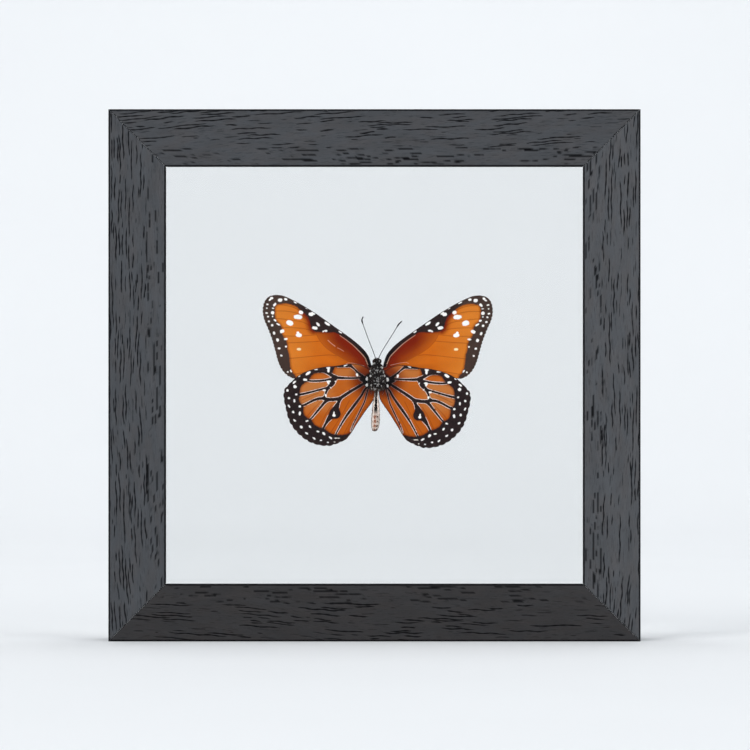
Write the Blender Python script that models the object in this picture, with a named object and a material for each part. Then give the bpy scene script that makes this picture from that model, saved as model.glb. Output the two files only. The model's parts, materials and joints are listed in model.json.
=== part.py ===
"""Framed butterfly specimen: a mitred black frame, two panes of glass and a spread butterfly between them.

Row frame: +X to the viewer's right, +Y away from the viewer, +Z up, metres. The origin is the middle of the
frame's underside. The butterfly shows its underside to the viewer, so its back faces the rear pane.
"""

import math

import bmesh
import bpy
from mathutils import Matrix, Vector

MM = 0.001
GAP = 0.3 * MM  # clear space kept between pieces that touch on the real object

# Frame moulding
FRAME_SIDE = 177.8 * MM
FACE_WIDTH = 19.05 * MM
FRAME_DEPTH = 25.4 * MM
REBATE_WIDTH = 6.35 * MM
LIP_THICKNESS = 5.0 * MM
ARRIS = 0.7 * MM
ARRIS_STEPS = 3
MITRE_GAP = 0.15 * MM  # each length stops this far short of the mitre plane

# What lies in the rebate, front to back
GLASS_THICKNESS = 2.0 * MM
SPACER_DEPTH = 9.0 * MM
SPACER_WIDTH = 4.8 * MM
FILLET_DEPTH = 6.0 * MM
FILLET_WIDTH = 5.4 * MM
FILLET_BEVEL = 1.2 * MM
REBATE_PLAY = 0.75 * MM  # from the rebate's wall to the edge of a pane

# Mitre fasteners and hanger
WEDGE_LEG = 4.0 * MM
WEDGE_THICKNESS = 0.5 * MM
WEDGE_HEIGHT = 7.0 * MM
WEDGE_INSET = 4.4 * MM
HANGER_LENGTH = 38.0 * MM
HANGER_HEIGHT = 8.0 * MM
HANGER_THICKNESS = 0.8 * MM
HANGER_RISE = 1.3 * MM
HANGER_TEETH = 9
HANGER_TOOTH_DEPTH = 1.0 * MM
HANGER_FLAT = 3.5 * MM  # length of each end that lies on the wood
HANGER_RAMP = 2.5 * MM
NAIL_SHANK_RADIUS = 0.5 * MM
NAIL_LENGTH = 8.0 * MM
NAIL_HEAD_RADIUS = 1.3 * MM
NAIL_HEAD_THICKNESS = 0.5 * MM

# Butterfly
SPECIMEN_X = 0.85 * MM
SPECIMEN_Y = 0.7 * MM
SPECIMEN_Z = 87.5 * MM
WING_THICKNESS = 0.22 * MM
FOREWING_Y = 1.35 * MM  # behind the body's axis, at the wing's root
HINDWING_Y = 0.55 * MM
WING_RISE = 1.1 * MM  # how far a wing bends back at WING_REACH from the body
WING_REACH = 44.0 * MM
WING_SCALE = 1.008
# The right wings were set a touch lower than the left: turn, then the way across and up
RIGHT_WINGS = {
    "forewing": (math.radians(0.8), 0.2 * MM, 0.3 * MM),
    "hindwing": (math.radians(1.5), 0.25 * MM, -0.25 * MM),
}
WING_GRID = 5.5 * MM
# Length and height of the small lobes round each outer margin
SCALLOPS = {"forewing": (1.25 * MM, 0.13 * MM), "hindwing": (2.4 * MM, 0.26 * MM)}
OUTLINE_STEP = 0.9 * MM

FRAME_CENTRE = Vector((0, 0, FRAME_SIDE / 2))
Y_FRONT = -FRAME_DEPTH / 2
Y_BACK = FRAME_DEPTH / 2
Y_LIP = Y_FRONT + LIP_THICKNESS
Y_PANE_1 = Y_LIP + GAP
Y_SPACER = Y_PANE_1 + GLASS_THICKNESS + GAP
Y_PANE_2 = Y_SPACER + SPACER_DEPTH + GAP
Y_FILLET = Y_PANE_2 + GLASS_THICKNESS + GAP
BACK_WIDTH = FACE_WIDTH - REBATE_WIDTH
BODY_CENTRE = Vector((SPECIMEN_X, SPECIMEN_Y, SPECIMEN_Z))

# Wing outlines, in millimetres from the middle of the thorax, for the viewer's left pair, with +x away from
# the body. Each is three smooth runs: the leading edge, the scalloped outer margin and the trailing edge.
FOREWING_RUNS = (
    ((2.0, 5.3), (2.9, 7.9), (4.9, 10.5), (8.0, 13.2), (12.0, 16.1), (16.0, 18.95), (20.0, 21.75),
     (24.0, 24.3), (28.0, 26.5), (31.3, 27.95), (33.8, 28.3)),
    ((33.8, 28.3), (36.1, 27.7), (37.65, 25.9), (38.2, 23.2), (37.75, 20.2), (36.4, 16.9), (35.15, 13.6),
     (34.1, 9.9), (33.05, 6.0), (31.7, 3.2), (30.0, 1.35), (28.1, 0.35)),
    ((28.1, 0.35), (25.0, 0.35), (19.0, 0.5), (12.0, 0.75), (6.0, 1.0), (2.2, 1.4)),
)
HINDWING_RUNS = (
    ((2.1, 3.0), (3.4, 3.9), (5.4, 4.85), (8.2, 5.3), (11.0, 4.95), (14.0, 4.5), (17.5, 4.2), (21.0, 3.5),
     (24.0, 2.5), (26.6, 1.05)),
    ((26.6, 1.05), (29.0, -1.2), (30.9, -3.5), (31.1, -6.4), (30.4, -9.8), (29.6, -13.0), (28.05, -16.0),
     (25.75, -18.6), (22.85, -20.7), (19.5, -21.9), (16.0, -22.15), (12.8, -21.2), (10.2, -19.95)),
    ((10.2, -19.95), (8.6, -17.9), (6.6, -14.7), (4.2, -11.1), (2.3, -8.4), (1.35, -6.4), (1.3, -4.6),
     (1.9, -2.6)),
)

# Body stations: height, sideways centre, depth centre, half width, half depth, in millimetres from BODY_CENTRE.
THORAX_STATIONS = (
    (-3.9, -0.1, 0.1, 0.55, 0.5), (-3.5, -0.1, 0.1, 1.6, 1.2), (-2.6, 0, 0.05, 2.5, 1.9),
    (-1.0, 0, 0, 3.0, 2.25), (1.0, 0, 0, 3.0, 2.3), (2.6, 0, 0.05, 2.6, 2.1), (3.8, 0, 0.1, 2.0, 1.7),
    (4.7, 0, 0.1, 1.35, 1.2), (5.0, 0, 0.1, 0.6, 0.55),
)
HEAD_STATIONS = (
    (5.35, 0, -0.1, 0.7, 0.6), (5.6, 0, -0.1, 1.15, 1.0), (6.1, 0, -0.15, 1.35, 1.2), (6.7, 0, -0.2, 1.2, 1.1),
    (7.1, 0, -0.2, 0.75, 0.75), (7.25, 0, -0.2, 0.3, 0.35),
)
ABDOMEN_TOP = -4.3
ABDOMEN_SEGMENTS = (
    # lower end of each segment, sideways centre, half width at its fullest, half depth
    (-5.6, -0.25, 0.75, 0.75), (-7.3, -0.3, 1.0, 1.0), (-9.0, -0.35, 1.2, 1.2), (-10.8, -0.4, 1.33, 1.3),
    (-12.5, -0.45, 1.42, 1.38), (-14.1, -0.52, 1.46, 1.4), (-15.6, -0.6, 1.38, 1.3), (-16.7, -0.7, 1.1, 1.05),
)
ABDOMEN_TIP = (-17.35, -0.82, 0.35)
EYE_CENTRE = (1.2, -0.35, 6.15)
EYE_RADIUS = 0.72

# Antennae: points from the head to the tip, in millimetres from BODY_CENTRE, (sideways, depth, height).
ANTENNAE = {
    "antenna_left": ((-0.55, -0.2, 7.75), (-1.35, 0.0, 9.6), (-2.6, 0.3, 12.7), (-3.9, 0.5, 16.3),
                     (-4.75, 0.6, 18.7), (-5.05, 0.6, 19.9), (-4.6, 0.6, 21.0)),
    "antenna_right": ((0.6, -0.2, 7.75), (1.55, 0.0, 9.2), (3.2, 0.3, 11.9), (4.9, 0.5, 14.6),
                      (6.3, 0.6, 16.9), (7.2, 0.6, 18.35), (8.3, 0.6, 19.45)),
}
ANTENNA_RADIUS = 0.11
CLUB_RADIUS = 0.2

# Legs for the viewer's left side: points from the hip to the claw, and the radius there, in millimetres.
LEGS = {
    "foreleg": ((-0.55, -2.45, 3.3, 0.14), (-0.95, -2.6, 4.3, 0.2), (-0.8, -2.75, 5.2, 0.13)),
    "midleg": ((-0.5, -2.95, 0.7, 0.3), (-1.2, -2.95, 2.0, 0.26), (-1.75, -2.8, 3.3, 0.2),
               (-1.65, -3.35, 1.6, 0.17), (-1.25, -3.75, -0.6, 0.15), (-0.95, -3.6, -2.7, 0.1)),
    "hindleg": ((-0.75, -2.95, -1.2, 0.3), (-1.9, -2.75, -0.3, 0.26), (-2.95, -2.2, 0.9, 0.2),
                (-2.75, -2.75, -0.9, 0.17), (-2.3, -2.85, -3.0, 0.14), (-1.9, -2.3, -5.0, 0.1)),
}
PROBOSCIS_CENTRE = (0.0, -2.45, 6.05)
PROBOSCIS_TURNS = 2.25
PROBOSCIS_INNER, PROBOSCIS_OUTER, PROBOSCIS_RADIUS = 0.22, 0.95, 0.13
PALP_STATIONS = (
    # for the viewer's left: height, sideways, depth, half width, half depth
    (5.2, -0.42, -1.75, 0.1, 0.12), (5.5, -0.43, -1.82, 0.21, 0.25), (6.2, -0.46, -1.9, 0.24, 0.28),
    (6.9, -0.48, -1.8, 0.2, 0.22), (7.3, -0.48, -1.65, 0.08, 0.1),
)
GLUE_RADIUS, GLUE_HEIGHT = 1.5, 0.55

SIDES = ("bottom", "left", "top", "right")


def clear_scene():
    for obj in list(bpy.data.objects):
        bpy.data.objects.remove(obj, do_unlink=True)


def new_material(name, colour, roughness, metallic=0.0, transmission=0.0):
    material = bpy.data.materials.new(name)
    material.use_nodes = True
    shader = material.node_tree.nodes["Principled BSDF"]
    shader.inputs["Base Color"].default_value = (*colour, 1)
    shader.inputs["Roughness"].default_value = roughness
    shader.inputs["Metallic"].default_value = metallic
    shader.inputs["Transmission Weight"].default_value = transmission
    material.diffuse_color = (*colour, 1)
    return material


def add_object(name, mesh, material, parent=None):
    obj = bpy.data.objects.new(name, mesh)
    bpy.context.scene.collection.objects.link(obj)
    if material and not mesh.materials:
        mesh.materials.append(material)
    obj.parent = parent
    return obj


def mesh_from(bm, name):
    """Turns a finished bmesh into a mesh, with its faces pointing out."""
    bmesh.ops.recalc_face_normals(bm, faces=bm.faces)
    closed = all(edge.is_manifold for edge in bm.edges)
    if closed and bm.calc_volume(signed=True) < 0:
        bmesh.ops.reverse_faces(bm, faces=bm.faces[:])
    mesh = bpy.data.meshes.new(name)
    bm.to_mesh(mesh)
    bm.free()
    return mesh


def make_cutter(obj):
    obj.hide_render = True
    obj.display_type = "WIRE"
    return obj


def cut(obj, cutter):
    modifier = obj.modifiers.new("cut_" + cutter.name, "BOOLEAN")
    modifier.operation = "DIFFERENCE"
    modifier.object = cutter


def quarter_turn(step):
    """The matrix that carries the bottom of the frame to its left, top and right sides in turn."""
    middle = Matrix.Translation(FRAME_CENTRE)
    return middle @ Matrix.Rotation(math.radians(90 * step), 4, "Y") @ middle.inverted()


def swept_length(name, profile, mitre_gap):
    """A straight length along X with mitred ends. The profile is a loop of (inset, y), inset from the outside."""
    bm = bmesh.new()
    loop = [bm.verts.new((0, y, inset)) for inset, y in profile]
    start = bm.faces.new(loop)
    swept = bmesh.ops.extrude_face_region(bm, geom=[start])["geom"]
    end = [v for v in swept if isinstance(v, bmesh.types.BMVert)]
    for vertices, side in ((loop, -1), (end, 1)):
        for vertex in vertices:
            vertex.co.x = side * (FRAME_SIDE / 2 - vertex.co.z - mitre_gap)
    return mesh_from(bm, name)


def rounded_corner(inset, y, towards_inset, towards_y, radius):
    """Points of a small rounded corner, from the face met first to the face met last."""
    centre_inset, centre_y = inset + towards_inset * radius, y + towards_y * radius
    points = []
    for step in range(ARRIS_STEPS + 1):
        angle = math.radians(90 * step / ARRIS_STEPS)
        points.append((centre_inset - towards_inset * radius * math.cos(angle),
                       centre_y - towards_y * radius * math.sin(angle)))
    return points


def moulding_profile():
    """The rebated moulding: a flat face with softened edges, a lip in front of the glass and a solid back."""
    outer_edge = rounded_corner(0, Y_FRONT, 1, 1, ARRIS)
    sight_edge = rounded_corner(FACE_WIDTH, Y_FRONT, -1, 1, ARRIS)[::-1]
    return [(0, Y_BACK), *outer_edge, *sight_edge, (FACE_WIDTH, Y_LIP), (BACK_WIDTH, Y_LIP), (BACK_WIDTH, Y_BACK)]


def bar_profile(inset, width, y, depth, bevel=0.0):
    """A rectangular bar, with one bevelled edge towards the window at the back if bevel is given."""
    inner = inset + width
    points = [(inset, y + depth), (inset, y), (inner, y)]
    if bevel:
        return points + [(inner, y + depth - bevel), (inner - bevel, y + depth)]
    return points + [(inner, y + depth)]


def wedge_mesh(name, half_thickness, leg, y_low, y_high):
    """A right-angled fastener across the bottom left mitre, with a leg in each of the two lengths."""
    corner = Vector((-FRAME_SIDE / 2 + WEDGE_INSET, WEDGE_INSET))
    t = half_thickness
    outline = ((-t, -t), (leg, -t), (leg, t), (t, t), (t, leg), (-t, leg))
    bm = bmesh.new()
    loop = [bm.verts.new((corner.x + dx, y_low, corner.y + dz)) for dx, dz in outline]
    swept = bmesh.ops.extrude_face_region(bm, geom=[bm.faces.new(loop)])["geom"]
    lifted = [v for v in swept if isinstance(v, bmesh.types.BMVert)]
    bmesh.ops.translate(bm, verts=lifted, vec=(0, y_high - y_low, 0))
    return mesh_from(bm, name)


def turned_mesh(name, stations, sides):
    """A round pin along +Y from (y, radius) stations, closed at both ends."""
    bm = bmesh.new()
    rings = [ring(bm, (0, y, 0), radius, radius, sides, "Y") for y, radius in stations]
    return lofted(bm, rings, name)


def ring(bm, centre, half_a, half_b, sides, axis="Z"):
    """An elliptical ring of vertices about a point, across the given axis. half_a lies along X."""
    made = bmesh.ops.create_circle(bm, cap_ends=False, radius=1, segments=sides)["verts"]
    turn = Matrix.Rotation(math.radians(90), 4, "X") if axis == "Y" else Matrix.Identity(4)
    shape = Matrix.Diagonal((half_a, half_b, 1, 1))
    bmesh.ops.transform(bm, matrix=Matrix.Translation(centre) @ turn @ shape, verts=made)
    return made


def lofted(bm, rings, name):
    """Joins neighbouring rings with quads and caps both ends."""
    for lower, upper in zip(rings, rings[1:]):
        for i in range(len(lower)):
            bm.faces.new((lower[i - 1], lower[i], upper[i], upper[i - 1]))
    bm.faces.new(rings[0])
    bm.faces.new(rings[-1])
    return mesh_from(bm, name)


def body_mesh(name, stations, sides, clearance=0.0):
    """A body part lofted through (height, sideways, depth, half width, half depth) stations in millimetres."""
    bm = bmesh.new()
    rings = []
    for index, (z, x, y, half_x, half_y) in enumerate(stations):
        end = (index == len(stations) - 1) - (index == 0)
        centre = BODY_CENTRE + Vector((x, y, z + clearance * end)) * MM
        rings.append(ring(bm, centre, (half_x + clearance) * MM, (half_y + clearance) * MM, sides))
    mesh = lofted(bm, rings, name)
    mesh.shade_smooth()
    return mesh


def abdomen_stations():
    """Rings that swell within each segment and tuck in where two segments meet."""
    stations = [(ABDOMEN_TOP, -0.2, 0.15, 0.35, 0.35)]
    top = ABDOMEN_TOP
    for low, x, half_x, half_y in ABDOMEN_SEGMENTS:
        middle = (top + low) / 2
        stations.append((middle, x, 0.1, half_x, half_y))
        stations.append((low + 0.12, x, 0.1, half_x * 0.97, half_y * 0.97))
        stations.append((low, x, 0.1, half_x * 0.9, half_y * 0.9))
        top = low
    tip_z, tip_x, tip_radius = ABDOMEN_TIP
    stations.append((tip_z, tip_x, 0.1, tip_radius, tip_radius))
    return stations[::-1]


def smooth_run(points, step):
    """Evenly spaced points on a Catmull-Rom curve through the given ones, ends included."""
    knots = [Vector(point) for point in points]
    knots = [2 * knots[0] - knots[1], *knots, 2 * knots[-1] - knots[-2]]
    fine = []
    for a, b, c, d in zip(knots, knots[1:], knots[2:], knots[3:]):
        for i in range(24):
            t = i / 24
            fine.append(0.5 * (2 * b + (c - a) * t + (2 * a - 5 * b + 4 * c - d) * t**2
                               + (3 * b - a - 3 * c + d) * t**3))
    fine.append(knots[-2])
    travelled = [0.0]
    for a, b in zip(fine, fine[1:]):
        travelled.append(travelled[-1] + (b - a).length)
    count = max(2, round(travelled[-1] / step))
    even, seen = [], 0
    for i in range(count + 1):
        target = travelled[-1] * i / count
        while seen < len(fine) - 2 and travelled[seen + 1] < target:
            seen += 1
        span = travelled[seen + 1] - travelled[seen]
        even.append(fine[seen].lerp(fine[seen + 1], (target - travelled[seen]) / span))
    return even


def scalloped(points, lobe_length, lobe_height):
    """Pushes a row of small uneven lobes out of an evenly spaced run that goes round the wing clockwise."""
    length = sum((b - a).length for a, b in zip(points, points[1:]))
    lobes = round(length / lobe_length)
    made = []
    for i, point in enumerate(points):
        before, after = points[max(i - 1, 0)], points[min(i + 1, len(points) - 1)]
        along = (after - before).normalized()
        share = i / (len(points) - 1)
        lobe = abs(math.sin(math.pi * lobes * share)) - 0.5
        lobe *= 0.75 + 0.35 * math.sin(share * 31) * math.sin(share * 17 + 1)
        fade = min(1.0, 8 * share, 8 * (1 - share))
        made.append(point + Vector((-along.y, along.x)) * (lobe_height * lobe * fade))
    return made


def wing_outline(kind, runs):
    leading, margin, trailing = runs
    lobe_length, lobe_height = (size / MM for size in SCALLOPS[kind])
    leading = smooth_run(leading, OUTLINE_STEP / MM)
    margin = scalloped(smooth_run(margin, lobe_length / 4), lobe_length, lobe_height)
    trailing = smooth_run(trailing, OUTLINE_STEP / MM)
    return [point * WING_SCALE * MM for point in leading[:-1] + margin[:-1] + trailing]


def wing_mesh(name, kind, runs, side, wing_y):
    """A thin cambered plate. side is -1 for the viewer's left wings and 1 for the right ones."""
    bm = bmesh.new()
    loop = [bm.verts.new((side * point.x, 0, point.y)) for point in wing_outline(kind, runs)]
    bm.faces.new(loop)
    steps = math.ceil(WING_REACH / WING_GRID)
    for axis in (Vector((1, 0, 0)), Vector((0, 0, 1))):
        for step in range(-steps, steps + 1):
            everything = bm.verts[:] + bm.edges[:] + bm.faces[:]
            bmesh.ops.bisect_plane(bm, geom=everything, plane_co=axis * (step * WING_GRID), plane_no=axis)
    bmesh.ops.triangulate(bm, faces=bm.faces[:])
    if side > 0:
        turn, across, up = RIGHT_WINGS[kind]
        bmesh.ops.rotate(bm, verts=bm.verts[:], matrix=Matrix.Rotation(turn, 3, "Y"))
        bmesh.ops.translate(bm, verts=bm.verts[:], vec=(across, 0, up))
    for vertex in bm.verts:
        share = Vector((vertex.co.x, vertex.co.z)).length / WING_REACH
        vertex.co += BODY_CENTRE + Vector((0, wing_y + WING_RISE * share**2, 0))
    return mesh_from(bm, name)


def tube(name, points, radii, sides_resolution, material, parent):
    """A round-ended tube through points, smoothed, with a radius at each, as a bevelled curve."""
    curve = bpy.data.curves.new(name, "CURVE")
    curve.dimensions = "3D"
    curve.bevel_depth = MM
    curve.bevel_resolution = sides_resolution
    curve.use_fill_caps = True
    spline = curve.splines.new("POLY")
    spline.points.add(len(points) - 1)
    for knot, point, radius in zip(spline.points, points, radii):
        knot.co = (*(BODY_CENTRE + Vector(point) * MM), 1)
        knot.radius = radius
    return add_object(name, curve, material, parent)


def build_frame(materials):
    """Four mitred lengths with their fasteners, and what is held in the rebate."""
    moulding = swept_length("moulding", moulding_profile(), MITRE_GAP)
    spacer_inset = BACK_WIDTH + REBATE_PLAY
    spacer = swept_length("spacer", bar_profile(spacer_inset, SPACER_WIDTH, Y_SPACER, SPACER_DEPTH), MITRE_GAP)
    fillet_profile = bar_profile(BACK_WIDTH + GAP, FILLET_WIDTH, Y_FILLET, FILLET_DEPTH, FILLET_BEVEL)
    fillet = swept_length("fillet", fillet_profile, MITRE_GAP)
    wedge = wedge_mesh("wedge", WEDGE_THICKNESS / 2, WEDGE_LEG, Y_BACK - WEDGE_HEIGHT, Y_BACK)
    slot = wedge_mesh("slot", WEDGE_THICKNESS / 2 + GAP, WEDGE_LEG + GAP,
                      Y_BACK - WEDGE_HEIGHT - GAP, Y_BACK + 2 * MM)
    frame = bpy.data.objects.new("frame", None)
    bpy.context.scene.collection.objects.link(frame)
    lengths, slots = {}, []
    for step, side in enumerate(SIDES):
        placed = quarter_turn(step)
        kind = "rail" if side in ("top", "bottom") else "stile"
        made = [
            add_object(f"{kind}_{side}", moulding, materials["wood"], frame),
            add_object(f"spacer_{side}", spacer, materials["spacer"], frame),
            add_object(f"fillet_{side}", fillet, materials["fillet"], frame),
            add_object(f"mitre_wedge_{step + 1}", wedge, materials["steel"], frame),
        ]
        cutter = make_cutter(add_object(f"slot_{step + 1}", slot, None, frame))
        for obj in (*made, cutter):
            obj.matrix_world = placed
        lengths[side] = made[0]
        slots.append(cutter)
    # The slot at a side's lower left end, seen from inside the frame, is its own; the next side's is the other.
    for step, side in enumerate(SIDES):
        cut(lengths[side], slots[step])
        cut(lengths[side], slots[step - 1])
    return frame, lengths["top"]


def build_glass(materials, frame):
    side = FRAME_SIDE - 2 * (BACK_WIDTH + REBATE_PLAY)
    for name, y in (("glass_front", Y_PANE_1), ("glass_rear", Y_PANE_2)):
        bm = bmesh.new()
        bmesh.ops.create_cube(bm, size=1)
        bmesh.ops.scale(bm, vec=(side, GLASS_THICKNESS, side), verts=bm.verts[:])
        pane = add_object(name, mesh_from(bm, name), materials["glass"], frame)
        pane.location = FRAME_CENTRE + Vector((0, y + GLASS_THICKNESS / 2, 0))


def hanger_mesh():
    """The raised plate with a toothed lower edge, as a sheet that Solidify thickens."""
    half, top = HANGER_LENGTH / 2, HANGER_HEIGHT / 2
    pitch = (HANGER_LENGTH - 2 * (HANGER_FLAT + HANGER_RAMP) - 4 * MM) / HANGER_TEETH
    outline = [(half, -top), (half, top), (-half, top), (-half, -top)]
    first = -pitch * HANGER_TEETH / 2
    for tooth in range(HANGER_TEETH):
        left = first + tooth * pitch
        outline += [(left, -top), (left + pitch / 2, -top + HANGER_TOOTH_DEPTH)]
    outline.append((first + HANGER_TEETH * pitch, -top))
    bm = bmesh.new()
    bm.faces.new([bm.verts.new((x, 0, z)) for x, z in outline])
    bends = (half - HANGER_FLAT, half - HANGER_FLAT - HANGER_RAMP)
    for x in (*bends, -bends[0], -bends[1]):
        everything = bm.verts[:] + bm.edges[:] + bm.faces[:]
        bmesh.ops.bisect_plane(bm, geom=everything, plane_co=(x, 0, 0), plane_no=(1, 0, 0))
    for vertex in bm.verts:
        climbed = (bends[0] - abs(vertex.co.x)) / HANGER_RAMP
        vertex.co.y = HANGER_RISE * min(1.0, max(0.0, climbed))
    return mesh_from(bm, "hanger")


def build_hanger(materials, frame, top_rail):
    """The sawtooth plate on the back of the top length, with its two nails."""
    centre_z = FRAME_SIDE - BACK_WIDTH / 2
    plate_y = Y_BACK + GAP
    plate = add_object("hanger_plate", hanger_mesh(), materials["steel"], frame)
    plate.location = (0, plate_y + HANGER_THICKNESS / 2, centre_z)
    thicken = plate.modifiers.new("thickness", "SOLIDIFY")
    thicken.thickness = HANGER_THICKNESS
    thicken.offset = 0
    head_y = plate_y + HANGER_THICKNESS + GAP
    shank_end = head_y - NAIL_LENGTH
    nail = turned_mesh("nail", [(shank_end, 0.15 * MM), (shank_end + MM, NAIL_SHANK_RADIUS),
                                (head_y, NAIL_SHANK_RADIUS), (head_y, NAIL_HEAD_RADIUS),
                                (head_y + 0.6 * NAIL_HEAD_THICKNESS, NAIL_HEAD_RADIUS),
                                (head_y + NAIL_HEAD_THICKNESS, 0.7 * NAIL_HEAD_RADIUS)], 12)
    clear_radius = NAIL_SHANK_RADIUS + GAP
    bore = turned_mesh("bore", [(shank_end - GAP, clear_radius), (head_y + MM, clear_radius)], 12)
    for name, side in (("left", -1), ("right", 1)):
        x = side * (HANGER_LENGTH / 2 - HANGER_FLAT / 2)
        cutter = make_cutter(add_object(f"nail_bore_{name}", bore, None, frame))
        for obj in (add_object(f"hanger_nail_{name}", nail, materials["steel"], frame), cutter):
            obj.location = (x, 0, centre_z)
        cut(plate, cutter)
        cut(top_rail, cutter)


def build_body(materials, specimen):
    """Thorax, head with its two eyes, and the ringed abdomen. Returns the cutters that keep the wings clear."""
    add_object("thorax", body_mesh("thorax", THORAX_STATIONS, 20), materials["body"], specimen)
    add_object("abdomen", body_mesh("abdomen", abdomen_stations(), 16), materials["abdomen"], specimen)
    head = add_object("head", body_mesh("head", HEAD_STATIONS, 16), materials["body"], specimen)
    for side, word in ((-1, "left"), (1, "right")):
        bm = bmesh.new()
        bmesh.ops.create_uvsphere(bm, u_segments=12, v_segments=8, radius=EYE_RADIUS * MM)
        eye = make_cutter(add_object(f"eye_{word}", mesh_from(bm, "eye"), materials["body"], specimen))
        x, y, z = EYE_CENTRE
        eye.location = BODY_CENTRE + Vector((side * x, y, z)) * MM
        join = head.modifiers.new(eye.name, "BOOLEAN")
        join.operation = "UNION"
        join.object = eye
    clearance = GAP / MM
    thorax_room = add_object("thorax_room", body_mesh("room", THORAX_STATIONS, 20, clearance), None, specimen)
    abdomen_room = add_object("abdomen_room", body_mesh("room", abdomen_stations(), 16, clearance), None, specimen)
    return [make_cutter(thorax_room), make_cutter(abdomen_room)]


def build_wings(materials, specimen, rooms):
    kinds = (("forewing", FOREWING_RUNS, FOREWING_Y), ("hindwing", HINDWING_RUNS, HINDWING_Y))
    for kind, runs, wing_y in kinds:
        for side, word in ((-1, "left"), (1, "right")):
            name = f"{kind}_{word}"
            wing = add_object(name, wing_mesh(name, kind, runs, side, wing_y), materials[kind], specimen)
            thicken = wing.modifiers.new("thickness", "SOLIDIFY")
            thicken.thickness = WING_THICKNESS
            thicken.offset = 0
            for room in rooms:
                cut(wing, room)


def build_antennae(materials, specimen):
    for name, knots in ANTENNAE.items():
        path = smooth_run(knots, 1.0)
        last = len(path) - 1
        radii = []
        for i in range(last + 1):
            club = max(0.0, 1 - (last - i) / 3.2)
            radii.append(ANTENNA_RADIUS + (CLUB_RADIUS - ANTENNA_RADIUS) * math.sin(math.pi * min(club, 0.62)))
        radii[0] = CLUB_RADIUS
        tube(name, path, radii, 1, materials["body"], specimen)


def build_legs(materials, specimen):
    for kind, knots in LEGS.items():
        for side, word in ((1, "left"), (-1, "right")):
            path = smooth_run([(side * x, y, z) for x, y, z, _ in knots], 0.45)
            radii = smooth_run([(radius, 0, i) for i, (*_, radius) in enumerate(knots)], 0.05)
            at = [radii[round(i / (len(path) - 1) * (len(radii) - 1))].x for i in range(len(path))]
            tube(f"{kind}_{word}", path, at, 1, materials["body"], specimen)


def build_mouthparts(materials, specimen):
    """The coiled tongue, seen edge on between the two palps."""
    x, y, z = PROBOSCIS_CENTRE
    steps = round(PROBOSCIS_TURNS * 16)
    coil = []
    for i in range(steps + 1):
        share = i / steps
        angle = 2 * math.pi * PROBOSCIS_TURNS * share
        radius = PROBOSCIS_INNER + (PROBOSCIS_OUTER - PROBOSCIS_INNER) * share
        coil.append((x, y + radius * math.cos(angle) * 0.8, z + radius * math.sin(angle)))
    tube("proboscis", coil, [PROBOSCIS_RADIUS] * len(coil), 1, materials["body"], specimen)
    for side, word in ((1, "left"), (-1, "right")):
        stations = [(height, side * across, depth, half_x, half_y)
                    for height, across, depth, half_x, half_y in PALP_STATIONS]
        add_object(f"palp_{word}", body_mesh("palp", stations, 10), materials["body"], specimen)


def build_glue(materials, specimen):
    """The clear drop that holds the back of the thorax to the rear pane."""
    drop_end = (Y_PANE_2 - GAP) / MM
    drop = [((drop_end - GLUE_HEIGHT) * MM, 0.75 * GLUE_RADIUS * MM), (drop_end * MM, GLUE_RADIUS * MM)]
    glue = add_object("glue_drop", turned_mesh("glue", drop, 20), materials["glue"], specimen)
    glue.location = (SPECIMEN_X, 0, SPECIMEN_Z)


def build_specimen(materials):
    specimen = bpy.data.objects.new("specimen", None)
    bpy.context.scene.collection.objects.link(specimen)
    rooms = build_body(materials, specimen)
    build_wings(materials, specimen, rooms)
    build_antennae(materials, specimen)
    build_legs(materials, specimen)
    build_mouthparts(materials, specimen)
    build_glue(materials, specimen)


def main():
    clear_scene()
    materials = {
        "wood": new_material("black_wood", (0.06, 0.063, 0.07), 0.55),
        "fillet": new_material("fillet_wood", (0.03, 0.03, 0.032), 0.6),
        "spacer": new_material("spacer_board", (0.02, 0.02, 0.02), 0.8),
        "glass": new_material("clear_glass", (1, 1, 1), 0.02, transmission=1.0),
        "steel": new_material("zinc_steel", (0.6, 0.6, 0.62), 0.35, metallic=1.0),
        "forewing": new_material("forewing_scales", (0.6, 0.15, 0.02), 0.6),
        "hindwing": new_material("hindwing_scales", (0.48, 0.14, 0.04), 0.6),
        "body": new_material("black_scales", (0.02, 0.017, 0.015), 0.6),
        "abdomen": new_material("abdomen_scales", (0.5, 0.33, 0.25), 0.6),
        "glue": new_material("clear_glue", (0.95, 0.93, 0.85), 0.1, transmission=0.9),
    }
    frame, top_rail = build_frame(materials)
    build_glass(materials, frame)
    build_hanger(materials, frame, top_rail)
    build_specimen(materials)


main()
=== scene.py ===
"""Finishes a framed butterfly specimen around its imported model: stained mouldings, clear panes and a spread
butterfly with patterned wings, and sets a pale studio stage for it."""

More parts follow.
